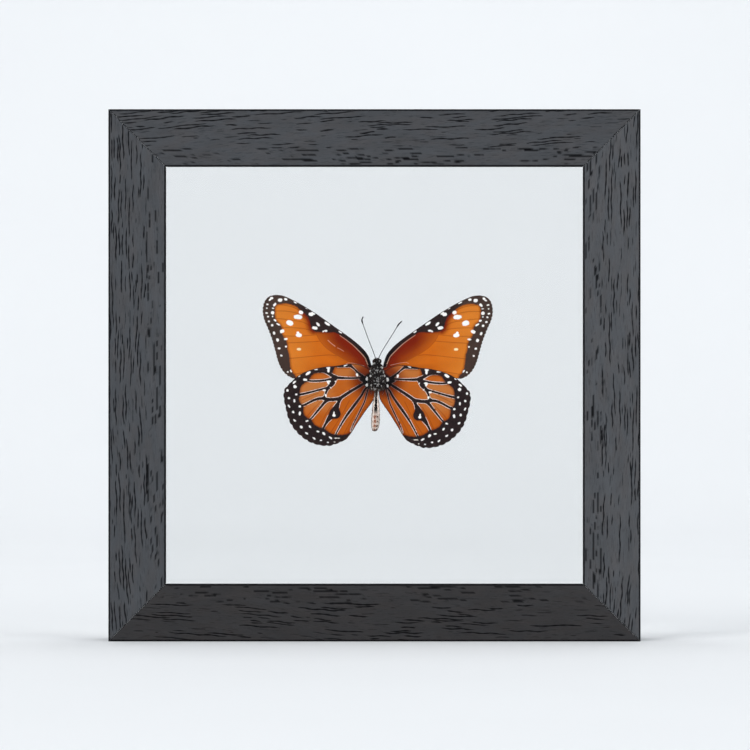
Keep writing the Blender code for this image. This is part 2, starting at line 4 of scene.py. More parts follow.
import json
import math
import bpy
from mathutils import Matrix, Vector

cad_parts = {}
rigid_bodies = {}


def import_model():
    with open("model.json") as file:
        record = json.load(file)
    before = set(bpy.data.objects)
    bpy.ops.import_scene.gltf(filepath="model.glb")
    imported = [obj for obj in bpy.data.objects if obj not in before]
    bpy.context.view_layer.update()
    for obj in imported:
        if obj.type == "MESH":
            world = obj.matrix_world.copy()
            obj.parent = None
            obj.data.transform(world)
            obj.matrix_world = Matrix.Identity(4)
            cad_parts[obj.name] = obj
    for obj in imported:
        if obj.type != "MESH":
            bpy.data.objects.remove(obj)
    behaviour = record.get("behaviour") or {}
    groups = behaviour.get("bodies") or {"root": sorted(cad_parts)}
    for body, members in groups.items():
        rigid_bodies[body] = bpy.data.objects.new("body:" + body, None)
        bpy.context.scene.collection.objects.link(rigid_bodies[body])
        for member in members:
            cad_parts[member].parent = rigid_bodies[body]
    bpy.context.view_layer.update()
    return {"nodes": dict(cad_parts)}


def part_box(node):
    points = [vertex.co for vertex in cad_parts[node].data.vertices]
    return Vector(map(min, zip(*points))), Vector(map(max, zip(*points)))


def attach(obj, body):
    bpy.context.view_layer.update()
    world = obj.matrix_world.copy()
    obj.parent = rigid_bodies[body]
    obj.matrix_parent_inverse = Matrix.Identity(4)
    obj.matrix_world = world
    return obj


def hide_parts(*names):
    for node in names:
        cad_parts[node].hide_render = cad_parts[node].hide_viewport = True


bl_info = {
    "name": "Framed Butterfly Specimen",
    "version": (1, 0, 0),
    "blender": (4, 5, 0),
    "location": "3D View > Sidebar > Specimen",
    "description": "Builds the visible pieces of a double-glazed frame with a spread butterfly inside",
    "category": "Object",
}

import bmesh
import bpy
import numpy as np
from bpy.props import FloatProperty, FloatVectorProperty, PointerProperty
from mathutils import Matrix, Vector
from mathutils.geometry import delaunay_2d_cdt

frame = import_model()

MM = 0.001
BODY = "root"

# The frame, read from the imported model
RAIL_LOW, RAIL_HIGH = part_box("rail_bottom")
HALF_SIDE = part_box("rail_top")[1].z / 2
Y_FRONT, Y_BACK = RAIL_LOW.y, RAIL_HIGH.y
FACE_WIDTH = RAIL_HIGH.z
REBATE_WIDTH = 6.35 * MM
BACK_WIDTH = FACE_WIDTH - REBATE_WIDTH
Y_LIP = Y_FRONT + 5.0 * MM
FRAME_CENTRE = Vector((0, 0, HALF_SIDE))
MITRE_GAP = 0.015 * MM

# The butterfly's own frame: drawn in millimetres from the middle of its thorax, then spread a little
SPECIMEN_ORIGIN = Vector((0.85, 0.7, 87.5)) * MM
SPECIMEN_UNIT = 1.008 * MM
WING_RISE = 1.1
WING_REACH = 44.0
WING_THICKNESS = 0.12
# Turn in degrees and shift of the viewer's right wings against a mirror image of the left ones
RIGHT_SET = {"forewing": (0.8, 0.2, 0.3), "hindwing": (1.5, 0.25, -0.25)}
# Length and height of the lobes along each outer margin
SCALLOPS = {"forewing": (1.25, 0.13), "hindwing": (2.4, 0.26)}

# Wing outlines: leading edge, outer margin and trailing edge, with +x away from the body
FOREWING_RUNS = (
    ((2.0, 5.3), (2.9, 7.9), (4.9, 10.5), (8.0, 13.2), (12.0, 16.1), (16.0, 18.95), (20.0, 21.75),
     (24.0, 24.3), (28.0, 26.5), (31.3, 27.95), (33.8, 28.3)),
    ((33.8, 28.3), (36.1, 27.7), (37.65, 25.9), (38.2, 23.2), (37.75, 20.2), (36.4, 16.9), (35.15, 13.6),
     (34.1, 9.9), (33.05, 6.0), (31.7, 3.2), (30.0, 1.35), (28.1, 0.35)),
    ((28.1, 0.35), (25.0, 0.35), (19.0, 0.5), (12.0, 0.75), (6.0, 1.0), (1.2, 1.4)),
)
HINDWING_RUNS = (
    ((1.2, 2.4), (3.4, 3.9), (5.4, 4.85), (8.2, 5.3), (11.0, 4.95), (14.0, 4.5), (17.5, 4.2), (21.0, 3.5),
     (24.0, 2.5), (26.6, 1.05)),
    ((26.6, 1.05), (29.0, -1.2), (30.9, -3.5), (31.1, -6.4), (30.4, -9.8), (29.6, -13.0), (28.05, -16.0),
     (25.75, -18.6), (22.85, -20.7), (19.5, -21.9), (16.0, -22.15), (12.8, -21.2), (10.2, -19.95)),
    ((10.2, -19.95), (8.6, -17.9), (6.6, -14.7), (4.2, -11.1), (2.2, -8.4), (0.95, -6.4), (0.5, -4.6),
     (0.5, -2.6)),
)

# The tawny field of each wing, bounded by its black border and patches
FOREWING_FIELD = (
    (2.6, 4.2), (3.9, 7.3), (6.0, 9.7), (8.0, 11.6), (10.0, 13.2), (12.0, 14.6), (14.0, 15.7), (16.0, 15.7),
    (18.0, 15.8), (20.5, 16.0), (21.3, 16.5), (21.9, 17.3), (22.2, 18.4), (22.5, 19.6), (23.1, 20.9),
    (24.1, 21.9), (25.2, 22.9), (26.6, 24.1), (28.2, 24.9), (30.0, 25.4), (32.0, 25.35), (33.4, 25.0),
    (34.0, 24.3), (34.2, 22.8), (34.1, 20.8), (33.6, 19.5), (32.6, 18.5), (31.9, 17.4), (31.8, 16.0),
    (31.6, 14.8), (30.7, 13.5), (30.1, 12.0), (29.9, 10.0), (29.4, 8.2), (29.2, 6.0), (28.9, 3.9),
    (28.2, 2.3), (27.2, 0.9), (26.0, -3.0), (0.0, -3.0), (0.0, 3.0),
)
HINDWING_FIELD = (
    (8.6, 4.7), (9.6, 4.25), (12.0, 4.2), (13.9, 4.1), (14.5, 3.2), (14.8, 2.3), (15.8, 2.1), (17.2, 2.2),
    (18.5, 2.35), (20.0, 2.2), (21.3, 1.7), (21.9, 1.1), (22.3, 0.4), (23.0, -0.4), (24.2, -1.2),
    (25.2, -2.1), (25.7, -3.5), (25.8, -5.0), (26.0, -6.6), (25.4, -8.1), (24.6, -9.0), (24.6, -10.3),
    (24.4, -11.6), (23.6, -12.6), (22.2, -13.2), (21.5, -14.1), (20.9, -15.1), (19.5, -15.9),
    (18.0, -16.3), (17.0, -16.9), (15.9, -17.8), (14.2, -18.3), (12.3, -18.55), (10.6, -18.4),
    (9.0, -17.9), (6.5, -17.5), (2.0, -12.0), (-1.0, -8.0), (-1.0, 8.0), (7.5, 8.0),
)

# Black veins of the hindwing: points, widths spread evenly along them
HINDWING_VEINS = (
    (((2.6, -0.3), (4.3, 0.7), (6.3, 2.2), (7.5, 3.4), (9.0, 4.5), (11.0, 4.6), (13.0, 4.4)),
     (1.1, 0.8, 0.45, 1.0, 0.5)),
    (((2.6, -0.2), (4.4, -0.25), (5.8, -0.1)), (2.6, 1.5, 0.2)),
    (((2.6, 0.1), (4.5, 0.5), (6.0, 0.55), (8.0, 0.45), (10.0, 0.45), (12.0, 0.5), (14.0, 0.7)),
     (0.6, 0.45, 0.6, 1.0)),
    (((14.0, 0.7), (15.3, 1.5), (16.5, 2.2), (18.0, 2.8), (20.0, 2.8)), (1.2, 0.9, 0.8)),
    (((14.4, 0.0), (16.0, -0.1), (18.0, -0.35), (20.0, -0.5), (22.0, -0.5), (23.2, -0.35)),
     (1.3, 0.6, 0.6, 0.5)),
    (((14.1, 0.5), (14.5, -0.4), (15.1, -1.4), (15.9, -2.4), (16.6, -3.3), (17.0, -4.2), (17.3, -5.2),
      (17.8, -6.2)), (1.5, 1.7, 1.0, 0.6, 0.5)),
    (((16.2, -2.6), (18.0, -3.15), (20.0, -3.65), (22.0, -4.2), (24.0, -4.7), (26.0, -5.1)),
     (0.6, 0.55, 0.7)),
    (((17.6, -6.3), (19.5, -6.4), (21.0, -6.9), (22.5, -7.6), (24.0, -8.4), (25.0, -8.7)), (0.9, 0.7, 0.6)),
    (((2.6, -0.5), (3.9, -1.05), (5.0, -1.7), (7.0, -2.9), (9.0, -4.1), (11.0, -5.4), (12.4, -6.3),
      (14.0, -6.6), (16.0, -6.7), (17.9, -6.3)), (0.5, 0.8, 0.95, 1.05, 0.9)),
    (((16.4, -6.8), (17.5, -7.7), (18.5, -8.9), (19.5, -10.1), (20.5, -11.3), (21.5, -12.5), (22.3, -13.3)),
     (1.0, 0.75, 0.6, 0.4)),
    (((12.3, -6.5), (12.9, -7.8), (13.5, -9.1), (14.0, -10.4)), (1.0, 0.95, 1.7, 2.6)),
    (((14.6, -11.4), (15.4, -12.3), (16.4, -13.6), (17.3, -15.1), (18.0, -16.4)), (2.4, 1.5, 0.75, 0.6)),
    (((2.6, -1.6), (4.2, -3.6), (5.2, -5.4), (6.5, -7.2), (8.0, -9.2), (9.5, -11.2), (11.0, -13.4),
      (12.2, -15.4), (13.2, -17.2), (13.8, -18.4)), (0.45, 0.6, 0.85, 0.8, 0.5, 0.35)),
    (((2.9, -3.0), (3.5, -5.0), (4.2, -7.5), (5.2, -9.6), (6.2, -11.6), (7.2, -13.6), (8.0, -15.2),
      (8.7, -17.2)), (0.3, 0.36, 0.22)),
)
SCENT_PATCH = (13.95, -11.4, 1.7)
HINDWING_FOLDS = (
    ((15.2, -8.6), (17.3, -12.0), (19.2, -15.9)),
    ((19.0, -7.6), (21.5, -10.2), (23.6, -12.6)),
    ((19.6, -4.6), (22.5, -5.7), (25.2, -6.9)),
    ((9.2, -7.0), (12.2, -12.6), (15.4, -17.6)),
    ((5.8, -9.0), (8.6, -13.6), (11.0, -18.0)),
)

# Thin veins of the forewing
FOREWING_FOLDS = (
    ((3.6, 3.4), (6.0, 4.5), (8.0, 5.4), (10.0, 6.3), (12.0, 7.4), (14.0, 8.5), (15.5, 9.5), (17.2, 10.8),
     (18.4, 12.1), (19.2, 13.2), (19.9, 14.4), (20.4, 15.8)),
    ((13.5, 7.9), (16.0, 8.2), (20.0, 7.9), (24.0, 7.5), (29.4, 7.0)),
    ((19.0, 12.8), (22.0, 12.6), (26.0, 12.4), (30.0, 12.2)),
    ((20.0, 14.9), (26.0, 14.5), (31.7, 14.6)),
    ((20.9, 16.0), (24.0, 16.9), (28.0, 17.3), (32.0, 17.4)),
    ((21.8, 17.6), (25.0, 19.2), (30.0, 20.0), (34.0, 20.5)),
    ((22.6, 19.5), (26.0, 21.8), (30.0, 22.8), (34.2, 22.9)),
    ((24.5, 22.0), (28.0, 24.1), (33.0, 25.2)),
    ((4.0, 2.8), (12.0, 3.1), (20.0, 2.9), (28.0, 1.7)),
)
FOREWING_CELL = (
    (0.0, 2.4), (3.6, 3.4), (6.0, 4.5), (8.0, 5.4), (10.0, 6.3), (12.0, 7.4), (14.0, 8.5), (15.5, 9.5),
    (17.2, 10.8), (18.4, 12.1), (19.2, 13.2), (19.9, 14.4), (20.4, 15.8), (20.0, 19.0), (10.0, 17.0),
    (0.0, 10.0),
)
# Fine pale threads: points and width
FOREWING_THREADS = (
    (((3.0, 4.9), (4.1, 7.4), (6.0, 9.55), (8.0, 11.45), (10.0, 13.0), (12.4, 14.7)), 0.2),
    (((4.2, 4.5), (6.8, 5.15), (9.1, 5.55), (10.4, 5.2)), 0.16),
)
LEFT_SCRATCH = (
    (((16.4, 13.1), (15.2, 12.0), (14.0, 11.1)), 0.24),
    (((13.3, 10.6), (12.2, 10.1), (11.1, 9.4)), 0.17),
)

# White spots: x, z, length, width, lean in degrees from the outward direction
FOREWING_SPOTS = (
    (35.2, 27.2, 0.9, 0.75, 0), (35.75, 26.65, 0.9, 0.55, -30), (32.4, 26.5, 1.4, 1.1, 0),
    (30.5, 26.8, 1.0, 0.75, 15), (27.3, 25.75, 1.2, 0.4, 28), (23.6, 23.75, 0.8, 0.3, 28),
    (36.6, 25.1, 0.8, 0.5, 10), (34.2, 25.0, 1.25, 0.75, -45), (34.8, 23.8, 0.7, 0.35, 5),
    (36.8, 23.8, 0.45, 0.4, 0), (34.9, 22.3, 1.1, 1.1, 0), (36.9, 22.2, 0.8, 0.5, 15),
    (36.4, 21.0, 0.6, 0.5, 0), (34.9, 21.1, 0.45, 0.4, 0), (34.1, 19.8, 0.95, 0.65, 30),
    (36.1, 19.4, 0.75, 0.6, 20), (33.0, 18.4, 1.3, 0.5, 30), (35.0, 18.1, 0.8, 0.75, 0),
    (31.7, 16.1, 1.5, 1.1, -20), (34.4, 15.5, 1.0, 0.7, 70), (33.2, 13.2, 1.1, 0.9, 70),
    (30.5, 13.5, 1.2, 0.65, 0), (30.4, 11.0, 0.6, 0.6, 0), (32.7, 10.4, 0.8, 0.65, 10),
    (32.0, 8.0, 0.7, 0.6, 20), (28.75, 2.8, 0.85, 0.45, 60), (29.8, 2.5, 0.5, 0.45, 0),
    (25.4, 22.4, 1.4, 1.15, 30), (26.4, 20.9, 2.7, 1.45, 3), (29.2, 18.9, 2.3, 1.7, 20),
    (26.1, 14.8, 1.9, 1.3, 10), (26.4, 15.5, 1.0, 0.9, 80), (26.1, 10.1, 1.35, 0.85, 0),
    (22.1, 21.75, 1.5, 1.1, 15), (21.3, 22.15, 1.3, 0.95, 20), (19.7, 18.4, 1.5, 0.8, 50),
    (20.75, 17.2, 1.9, 1.0, 10), (16.6, 18.6, 1.95, 0.75, 33), (17.2, 16.25, 1.1, 0.6, 0),
    (17.9, 16.05, 0.7, 0.5, -30), (12.2, 15.8, 1.15, 0.55, 35),
)
HINDWING_SPOTS = (
    (27.6, -0.95, 1.2, 0.55, -38), (29.9, -3.7, 0.8, 0.7, 90), (29.4, -6.2, 0.75, 0.7, 0),
    (29.4, -8.9, 1.0, 0.5, 60), (28.0, -10.9, 0.8, 0.7, 60), (27.5, -13.7, 1.0, 0.55, 40),
    (25.3, -15.9, 1.0, 0.75, 50), (23.5, -18.0, 1.0, 0.5, 30), (21.0, -19.7, 1.0, 0.5, 40),
    (18.7, -20.3, 0.7, 0.5, 0), (16.4, -21.0, 0.5, 0.28, 0), (14.2, -20.9, 0.5, 0.26, 0),
    (26.0, 1.15, 0.8, 0.55, -30), (23.0, 2.05, 1.75, 0.85, -33), (24.0, -0.1, 1.3, 0.75, 10),
    (27.4, -2.4, 1.1, 1.0, 45), (27.0, -5.0, 0.7, 0.6, 0), (27.6, -7.1, 1.0, 0.6, 90),
    (25.8, -9.0, 0.8, 0.7, 0), (25.8, -11.35, 1.2, 0.75, 105), (23.4, -13.9, 0.85, 0.5, -20),
    (22.4, -15.75, 0.95, 0.55, 50), (19.7, -17.4, 0.9, 0.5, 10), (17.8, -18.1, 1.15, 0.75, 45),
    (15.5, -19.45, 1.15, 0.55, 35), (13.2, -19.6, 1.6, 0.25, 0), (20.5, 3.4, 1.6, 0.5, 8),
    (16.25, 3.9, 1.25, 0.75, 0), (16.2, 3.1, 1.5, 0.75, 90), (10.4, 4.8, 1.35, 0.42, -30),
    (6.65, 1.55, 1.1, 0.7, 75), (16.3, -1.0, 1.3, 0.7, 60), (16.0, -0.6, 1.1, 0.5, 10),
    (17.6, -3.6, 0.9, 0.6, 0), (17.1, -5.4, 0.95, 0.6, 80), (14.35, -12.0, 1.0, 0.8, 10),
    (14.4, -11.45, 1.2, 0.5, 90), (15.45, -2.75, 0.5, 0.25, 45), (13.85, -0.75, 0.55, 0.3, 60),
    (3.35, 0.15, 0.95, 0.7, 90), (3.35, -1.85, 0.9, 0.6, 90),
)

# Middle line of a palp
PALP = (0.4, -1.0, 5.3), (0.45, -1.65, 5.6), (0.48, -1.8, 6.3), (0.5, -1.6, 7.3)
# Body sections: height, across, depth, half width, half depth
THORAX_STATIONS = (
    (-3.9, -0.1, 0.1, 0.45, 0.5), (-3.6, -0.1, 0.1, 1.4, 1.1), (-2.8, 0.0, 0.05, 2.3, 1.75),
    (-1.2, 0.0, 0.0, 2.75, 2.15), (0.9, 0.0, 0.0, 2.7, 2.2), (2.5, 0.0, 0.05, 2.35, 2.0),
    (3.8, 0.0, 0.1, 2.05, 1.65), (4.7, 0.0, 0.1, 1.7, 1.3), (5.3, 0.0, 0.05, 1.1, 0.9),
)
HEAD_STATIONS = (
    (5.0, 0.0, -0.05, 0.75, 0.6), (5.4, 0.0, -0.1, 1.15, 0.95), (5.9, 0.0, -0.15, 1.3, 1.1),
    (6.45, 0.0, -0.2, 1.2, 1.0), (6.85, 0.0, -0.2, 0.8, 0.65), (7.05, 0.0, -0.2, 0.3, 0.3),
)
ABDOMEN_SEGMENTS = (
    (-5.6, -0.25, 0.75, 0.75), (-7.3, -0.3, 0.98, 1.0), (-9.0, -0.35, 1.17, 1.2), (-10.8, -0.4, 1.3, 1.3),
    (-12.5, -0.45, 1.4, 1.38), (-14.1, -0.52, 1.43, 1.4), (-15.6, -0.6, 1.34, 1.3), (-16.7, -0.7, 1.05, 1.05),
)
ABDOMEN_TOP = -3.7
ABDOMEN_TIP = (-17.3, -0.82, 0.3)
EYE_CENTRE = (1.05, -0.4, 6.05)
EYE_RADIUS = 0.58
ANTENNAE = {
    "antenna_left": ((-0.5, -0.2, 7.1), (-1.35, 0.0, 9.6), (-2.6, 0.3, 12.7), (-3.9, 0.5, 16.3),
                     (-4.75, 0.6, 18.7), (-5.05, 0.6, 19.9), (-4.6, 0.6, 21.0)),
    "antenna_right": ((0.55, -0.2, 7.1), (1.55, 0.0, 9.2), (3.2, 0.3, 11.9), (4.9, 0.5, 14.6),
                      (6.3, 0.6, 16.9), (7.2, 0.6, 18.35), (8.3, 0.6, 19.45)),
}
LEGS = {
    "foreleg": ((-0.45, -1.6, 3.1, 0.16), (-0.95, -2.4, 4.3, 0.22), (-0.8, -2.6, 5.3, 0.1)),
    "midleg": ((-0.4, -2.0, 0.6, 0.34), (-1.2, -2.8, 2.0, 0.28), (-1.75, -2.75, 3.3, 0.2),
               (-1.65, -3.25, 1.6, 0.18), (-1.25, -3.55, -0.6, 0.14), (-0.95, -3.4, -2.7, 0.09)),
    "hindleg": ((-0.65, -2.0, -1.2, 0.34), (-1.9, -2.65, -0.3, 0.28), (-2.95, -2.15, 0.9, 0.2),
                (-2.75, -2.65, -0.9, 0.18), (-2.3, -2.75, -3.0, 0.14), (-1.9, -2.2, -5.0, 0.09)),
}
NECK_HEIGHT = 5.1
THORAX_HAIRS, FRINGE_HAIRS, ABDOMEN_HAIRS, SMALL_TUFTS = 3600, 260, 170, 48
PALP_BRISTLES = 120
BODY_SEED, LIMB_SEED = 7, 19
# Clumps of white scales: x, z, size
THORAX_TUFTS = (
    (-3.3, 0.2, 0.62), (-3.35, -1.9, 0.5), (3.4, 0.0, 0.62), (3.35, -2.1, 0.45), (-2.1, 1.25, 0.36),
    (1.4, 1.15, 0.3), (2.45, 1.2, 0.38), (-1.9, -1.9, 0.28), (0.3, -1.8, 0.26), (1.4, -2.0, 0.2),
    (1.6, 4.0, 0.32), (-2.2, 3.0, 0.24), (-1.5, 2.9, 0.2), (1.3, 2.8, 0.26), (2.1, 2.4, 0.24),
    (2.0, -0.35, 0.34), (2.6, -1.1, 0.22), (-1.6, -0.4, 0.22), (-1.2, 5.2, 0.3), (-0.8, 5.35, 0.26),
    (-0.4, 6.3, 0.2), (0.7, 6.3, 0.2), (-0.6, 1.0, 0.18), (0.5, -0.6, 0.18),
)

# Farther than any mark of a wing reaches, in millimetres
FAR = 9.0
# What each kind of wing is drawn from. night is where its root's black fades, from and to, in millimetres
PLANS = {
    "forewing": {
        "runs": FOREWING_RUNS, "field": FOREWING_FIELD, "spots": FOREWING_SPOTS, "folds": FOREWING_FOLDS,
        "veins": (), "threads": FOREWING_THREADS, "depth": 1.35, "pleats": 26, "night": (5.0, 17.0),
    },
    "hindwing": {
        "runs": HINDWING_RUNS, "field": HINDWING_FIELD, "spots": HINDWING_SPOTS, "folds": HINDWING_FOLDS,
        "veins": HINDWING_VEINS, "threads": (), "depth": 0.55, "pleats": 17, "night": (5.0, 8.0),
    },
}

SIDES = (("rail_bottom", "Bottom"), ("stile_left", "Left"), ("rail_top", "Top"), ("stile_right", "Right"))


# ---------------------------------------------------------------- settings


def colour_property(name, description, default):
    return FloatVectorProperty(
        name=name, description=description, subtype="COLOR", size=3, min=0, max=1, default=default
    )


def length_property(name, description, default, low=0.0, high=0.003):
    return FloatProperty(name=name, description=description, unit="LENGTH", default=default, min=low,
                         max=high)


def power_property(name, description, default):
    return FloatProperty(name=name, description=description, default=default, min=0)


class FrameFinish(bpy.types.PropertyGroup):
    """Sizes and colours of the stained moulding."""

    arris: length_property("Arris", "Radius of the moulding's outer front edge", 0.4 * MM)
    inner_arris: length_property("Inner Arris", "Radius of the edge round the opening", 0.2 * MM)
    pore_depth: length_property("Pore Depth", "Depth of the open grain", 0.16 * MM)
    # Painted light: the four lengths share one stain, each given darker or lighter (the bottom darkest) to
    # stand in for how the light falls on it
    stain_and_painted_light_bottom: colour_property("Bottom Stain", "Stain on the bottom length", (0.036, 0.035, 0.037))
    stain_and_painted_light_left: colour_property("Left Stain", "Stain on the left length", (0.064, 0.069, 0.077))
    stain_and_painted_light_top: colour_property("Top Stain", "Stain on the top length", (0.058, 0.062, 0.069))
    stain_and_painted_light_right: colour_property("Right Stain", "Stain on the right length", (0.073, 0.078, 0.086))
    pore: colour_property("Open Pores", "Colour deep in the open grain", (0.0055, 0.0056, 0.0065))


class ButterflyFinish(bpy.types.PropertyGroup):
    """Colours of the wings and the body."""

    forewing_ground: colour_property("Forewing Ground", "Tawny field of the forewing", (0.61, 0.136, 0.006))
    forewing_light: colour_property("Forewing Light", "Outer field of the forewing", (0.68, 0.205, 0.022))
    forewing_deep: colour_property("Forewing Deep", "Maroon shade in the cell", (0.19, 0.012, 0.001))
    hindwing_ground: colour_property("Hindwing Ground", "Tawny field of the hindwing", (0.50, 0.106, 0.005))
    hindwing_light: colour_property("Hindwing Light", "Paler cells of the hindwing", (0.53, 0.175, 0.04))
    hindwing_deep: colour_property("Hindwing Deep", "Shade at the wing's root", (0.18, 0.02, 0.002))
    ink: colour_property("Ink", "Black scales", (0.018, 0.010, 0.011))
    dusk: colour_property("Dusk", "Grey-brown scales of the forewing's border", (0.058, 0.034, 0.027))
    chalk: colour_property("Chalk", "White scales", (0.96, 0.94, 0.93))
    edge_chalk: colour_property("Edge Chalk", "Whitish scales beside the veins", (0.80, 0.66, 0.60))
    cream: colour_property("Cream", "Cream of the smallest field spots", (0.95, 0.74, 0.36))
    upper_ground: colour_property("Upper Side Ground", "Chestnut field of the upper side",
                                  (0.33, 0.075, 0.014))
    pile: colour_property("Pile", "Black hair of the body", (0.007, 0.0045, 0.004))
    belly: colour_property("Belly", "Brown middle of the abdomen", (0.30, 0.10, 0.045))
    flank: colour_property("Flank", "Pinkish-white sides of the abdomen", (1.0, 0.87, 0.79))


class StageSettings(bpy.types.PropertyGroup):
    """The camera, the lights and the sweep behind the piece."""

    camera_distance: length_property("Camera Distance", "From the front of the frame to the camera", 1.7,
                                     0.3, 5)
    half_view: length_property("Half View", "Half of the width seen at the front of the frame", 0.12525,
                               0.05, 1)
    aim_x: length_property("Aim Across", "Camera's place across the frame", 0.00018, -0.1, 0.1)
    aim_z: length_property("Aim Height", "Camera's height above the floor", 0.089, 0, 1)
    floor: colour_property("Floor", "Colour of the floor and its sweep", (0.80, 0.81, 0.82))
    key_power: power_property("Key Power", "Strength of the main light in watts", 17)
    fill_power: power_property("Fill Power", "Strength of the fill light in watts", 11)
    back_power: power_property("Back Power", "Strength of the light on the sweep in watts", 12)
    world: power_property("World", "Strength of the light from all round", 0.6)


def scaled(colour, factor):
    """A colour made lighter or darker."""
    return tuple(factor * part for part in colour)


def settings():
    """The settings of the frame, of the butterfly and of the stage."""
    scene = bpy.context.scene
    return scene.specimen_frame, scene.specimen_butterfly, scene.specimen_stage


# ---------------------------------------------------------------- shader tools


class Value:
    """What a node puts out. It adds, subtracts and multiplies like a number, by way of more nodes."""

    def __init__(self, net, socket):
        self.net, self.socket = net, socket

    def __add__(self, other):
        return self.net.math("ADD", self, other)

    def __sub__(self, other):
        return self.net.math("SUBTRACT", self, other)

    def __rsub__(self, other):
        return self.net.math("SUBTRACT", other, self)

    def __mul__(self, other):
        return self.net.math("MULTIPLY", self, other)

    def __abs__(self):
        return self.net.math("ABSOLUTE", self)

    __radd__, __rmul__ = __add__, __mul__


class Net:
    """Adds nodes to a tree and hands back what they put out, so that a finish reads like a sum."""

    def __init__(self, tree):
        self.tree = tree

    def node(self, kind, **values):
        node = self.tree.nodes.new("ShaderNode" + kind)
        for key, value in values.items():
            setattr(node, key, value)
        return node

    def feed(self, socket, value):
        if isinstance(value, Value):
            self.tree.links.new(value.socket, socket)
        elif hasattr(value, "__len__") and len(socket.default_value) == 4 and len(value) == 3:
            socket.default_value = (*value, 1)
        else:
            socket.default_value = value

    def out(self, node, output=0):
        return Value(self, node.outputs[output])

    def run(self, kind, inputs, output=0, **values):
        """Adds a node, feeds its inputs, which are given by name or by number, and hands back one output."""
        node = self.node(kind, **values)
        for key, value in inputs.items():
            self.feed(node.inputs[key], value)
        return self.out(node, output)

    def math(self, operation, *values, clamp=False):
        return self.run("Math", dict(enumerate(values)), operation=operation, use_clamp=clamp)

    def largest(self, first, *others):
        for other in others:
            first = self.math("MAXIMUM", first, other)
        return first

    def vector(self, *parts):
        return self.run("CombineXYZ", dict(enumerate(parts)))

    def split(self, vector):
        node = self.run("SeparateXYZ", {0: vector}).socket.node
        return [self.out(node, axis) for axis in range(3)]

    def step(self, value, low, high):
        """0 at low to 1 at high, smoothly. low may be the higher of the two."""
        ends = (0, 1) if low < high else (1, 0)
        return self.run("MapRange", dict(enumerate((value, *sorted((low, high)), *ends))),
                        interpolation_type="SMOOTHSTEP")

    def mix(self, factor, a, b, blend="MIX"):
        return self.run("Mix", {0: factor, 6: a, 7: b}, 2, data_type="RGBA", blend_type=blend)

    def dimmed(self, colour, share):
        return self.mix(1.0, colour, self.vector(share, share, share), "MULTIPLY")

    def noise(self, vector, scale, detail=2.0, roughness=0.5):
        return self.run("TexNoise", {"Vector": vector, "Scale": scale, "Detail": detail,
                                     "Roughness": roughness})

    def cells(self, vector, scale=1.0):
        """A random number for each cell."""
        return self.split(self.run("TexVoronoi", {"Vector": vector, "Scale": scale}, "Color"))[0]

    def attribute(self, name, output="Fac"):
        return self.run("Attribute", {}, output, attribute_name=name)

    def light_path(self, output):
        return self.run("LightPath", {}, output)

    def millimetres(self):
        """Object coordinates in millimetres."""
        place = self.run("TexCoord", {}, "Object")
        return self.run("VectorMath", {0: place, "Scale": 1 / MM}, operation="SCALE")

    def swap(self, shader, other, share):
        """Shows a second shader in place of the first, by a share of each ray."""
        choose = self.node("MixShader")
        self.feed(choose.inputs[0], share)
        self.tree.links.new(shader.outputs[0], choose.inputs[1])
        self.tree.links.new(other.outputs[0], choose.inputs[2])
        self.tree.links.new(choose.outputs[0], self.tree.nodes["Material Output"].inputs["Surface"])


def new_group(name, inputs, outputs):
    """A shader node group with named sockets: the tools for it, what it's given and what it puts out."""
    tree = bpy.data.node_groups.new(name, "ShaderNodeTree")
    for socket, kind, default in inputs:
        made = tree.interface.new_socket(socket, in_out="INPUT", socket_type="NodeSocket" + kind)
        made.default_value = (*default, 1) if kind == "Color" else default
    for socket, kind in outputs:
        tree.interface.new_socket(socket, in_out="OUTPUT", socket_type="NodeSocket" + kind)
    net = Net(tree)
    given = {socket.name: Value(net, socket) for socket in tree.nodes.new("NodeGroupInput").outputs}
    return net, given, tree.nodes.new("NodeGroupOutput").inputs


def new_finish(name, roughness=0.5, metallic=0.0):
    """A material with tools for its tree and its Principled shader."""
    material = bpy.data.materials.new(name)
    material.use_nodes = True
    shader = material.node_tree.nodes["Principled BSDF"]
    shader.inputs["Roughness"].default_value = roughness
    shader.inputs["Metallic"].default_value = metallic
    return material, Net(material.node_tree), shader


def use_group(net, tree, **values):
    """Adds a group, feeds its sockets by name and hands back what it puts out."""
    node = net.node("Group", node_tree=tree)
    for key, value in values.items():
        net.feed(node.inputs[key.replace("_", " ")], value)
    return {output.name: Value(net, output) for output in node.outputs}


def add_bump(net, shader, height, distance, strength=1.0):
    bump = net.node("Bump")
    bump.inputs["Strength"].default_value = strength
    bump.inputs["Distance"].default_value = distance
    net.feed(bump.inputs["Height"], height)
    net.feed(shader.inputs["Normal"], net.out(bump))


# ---------------------------------------------------------------- finishes


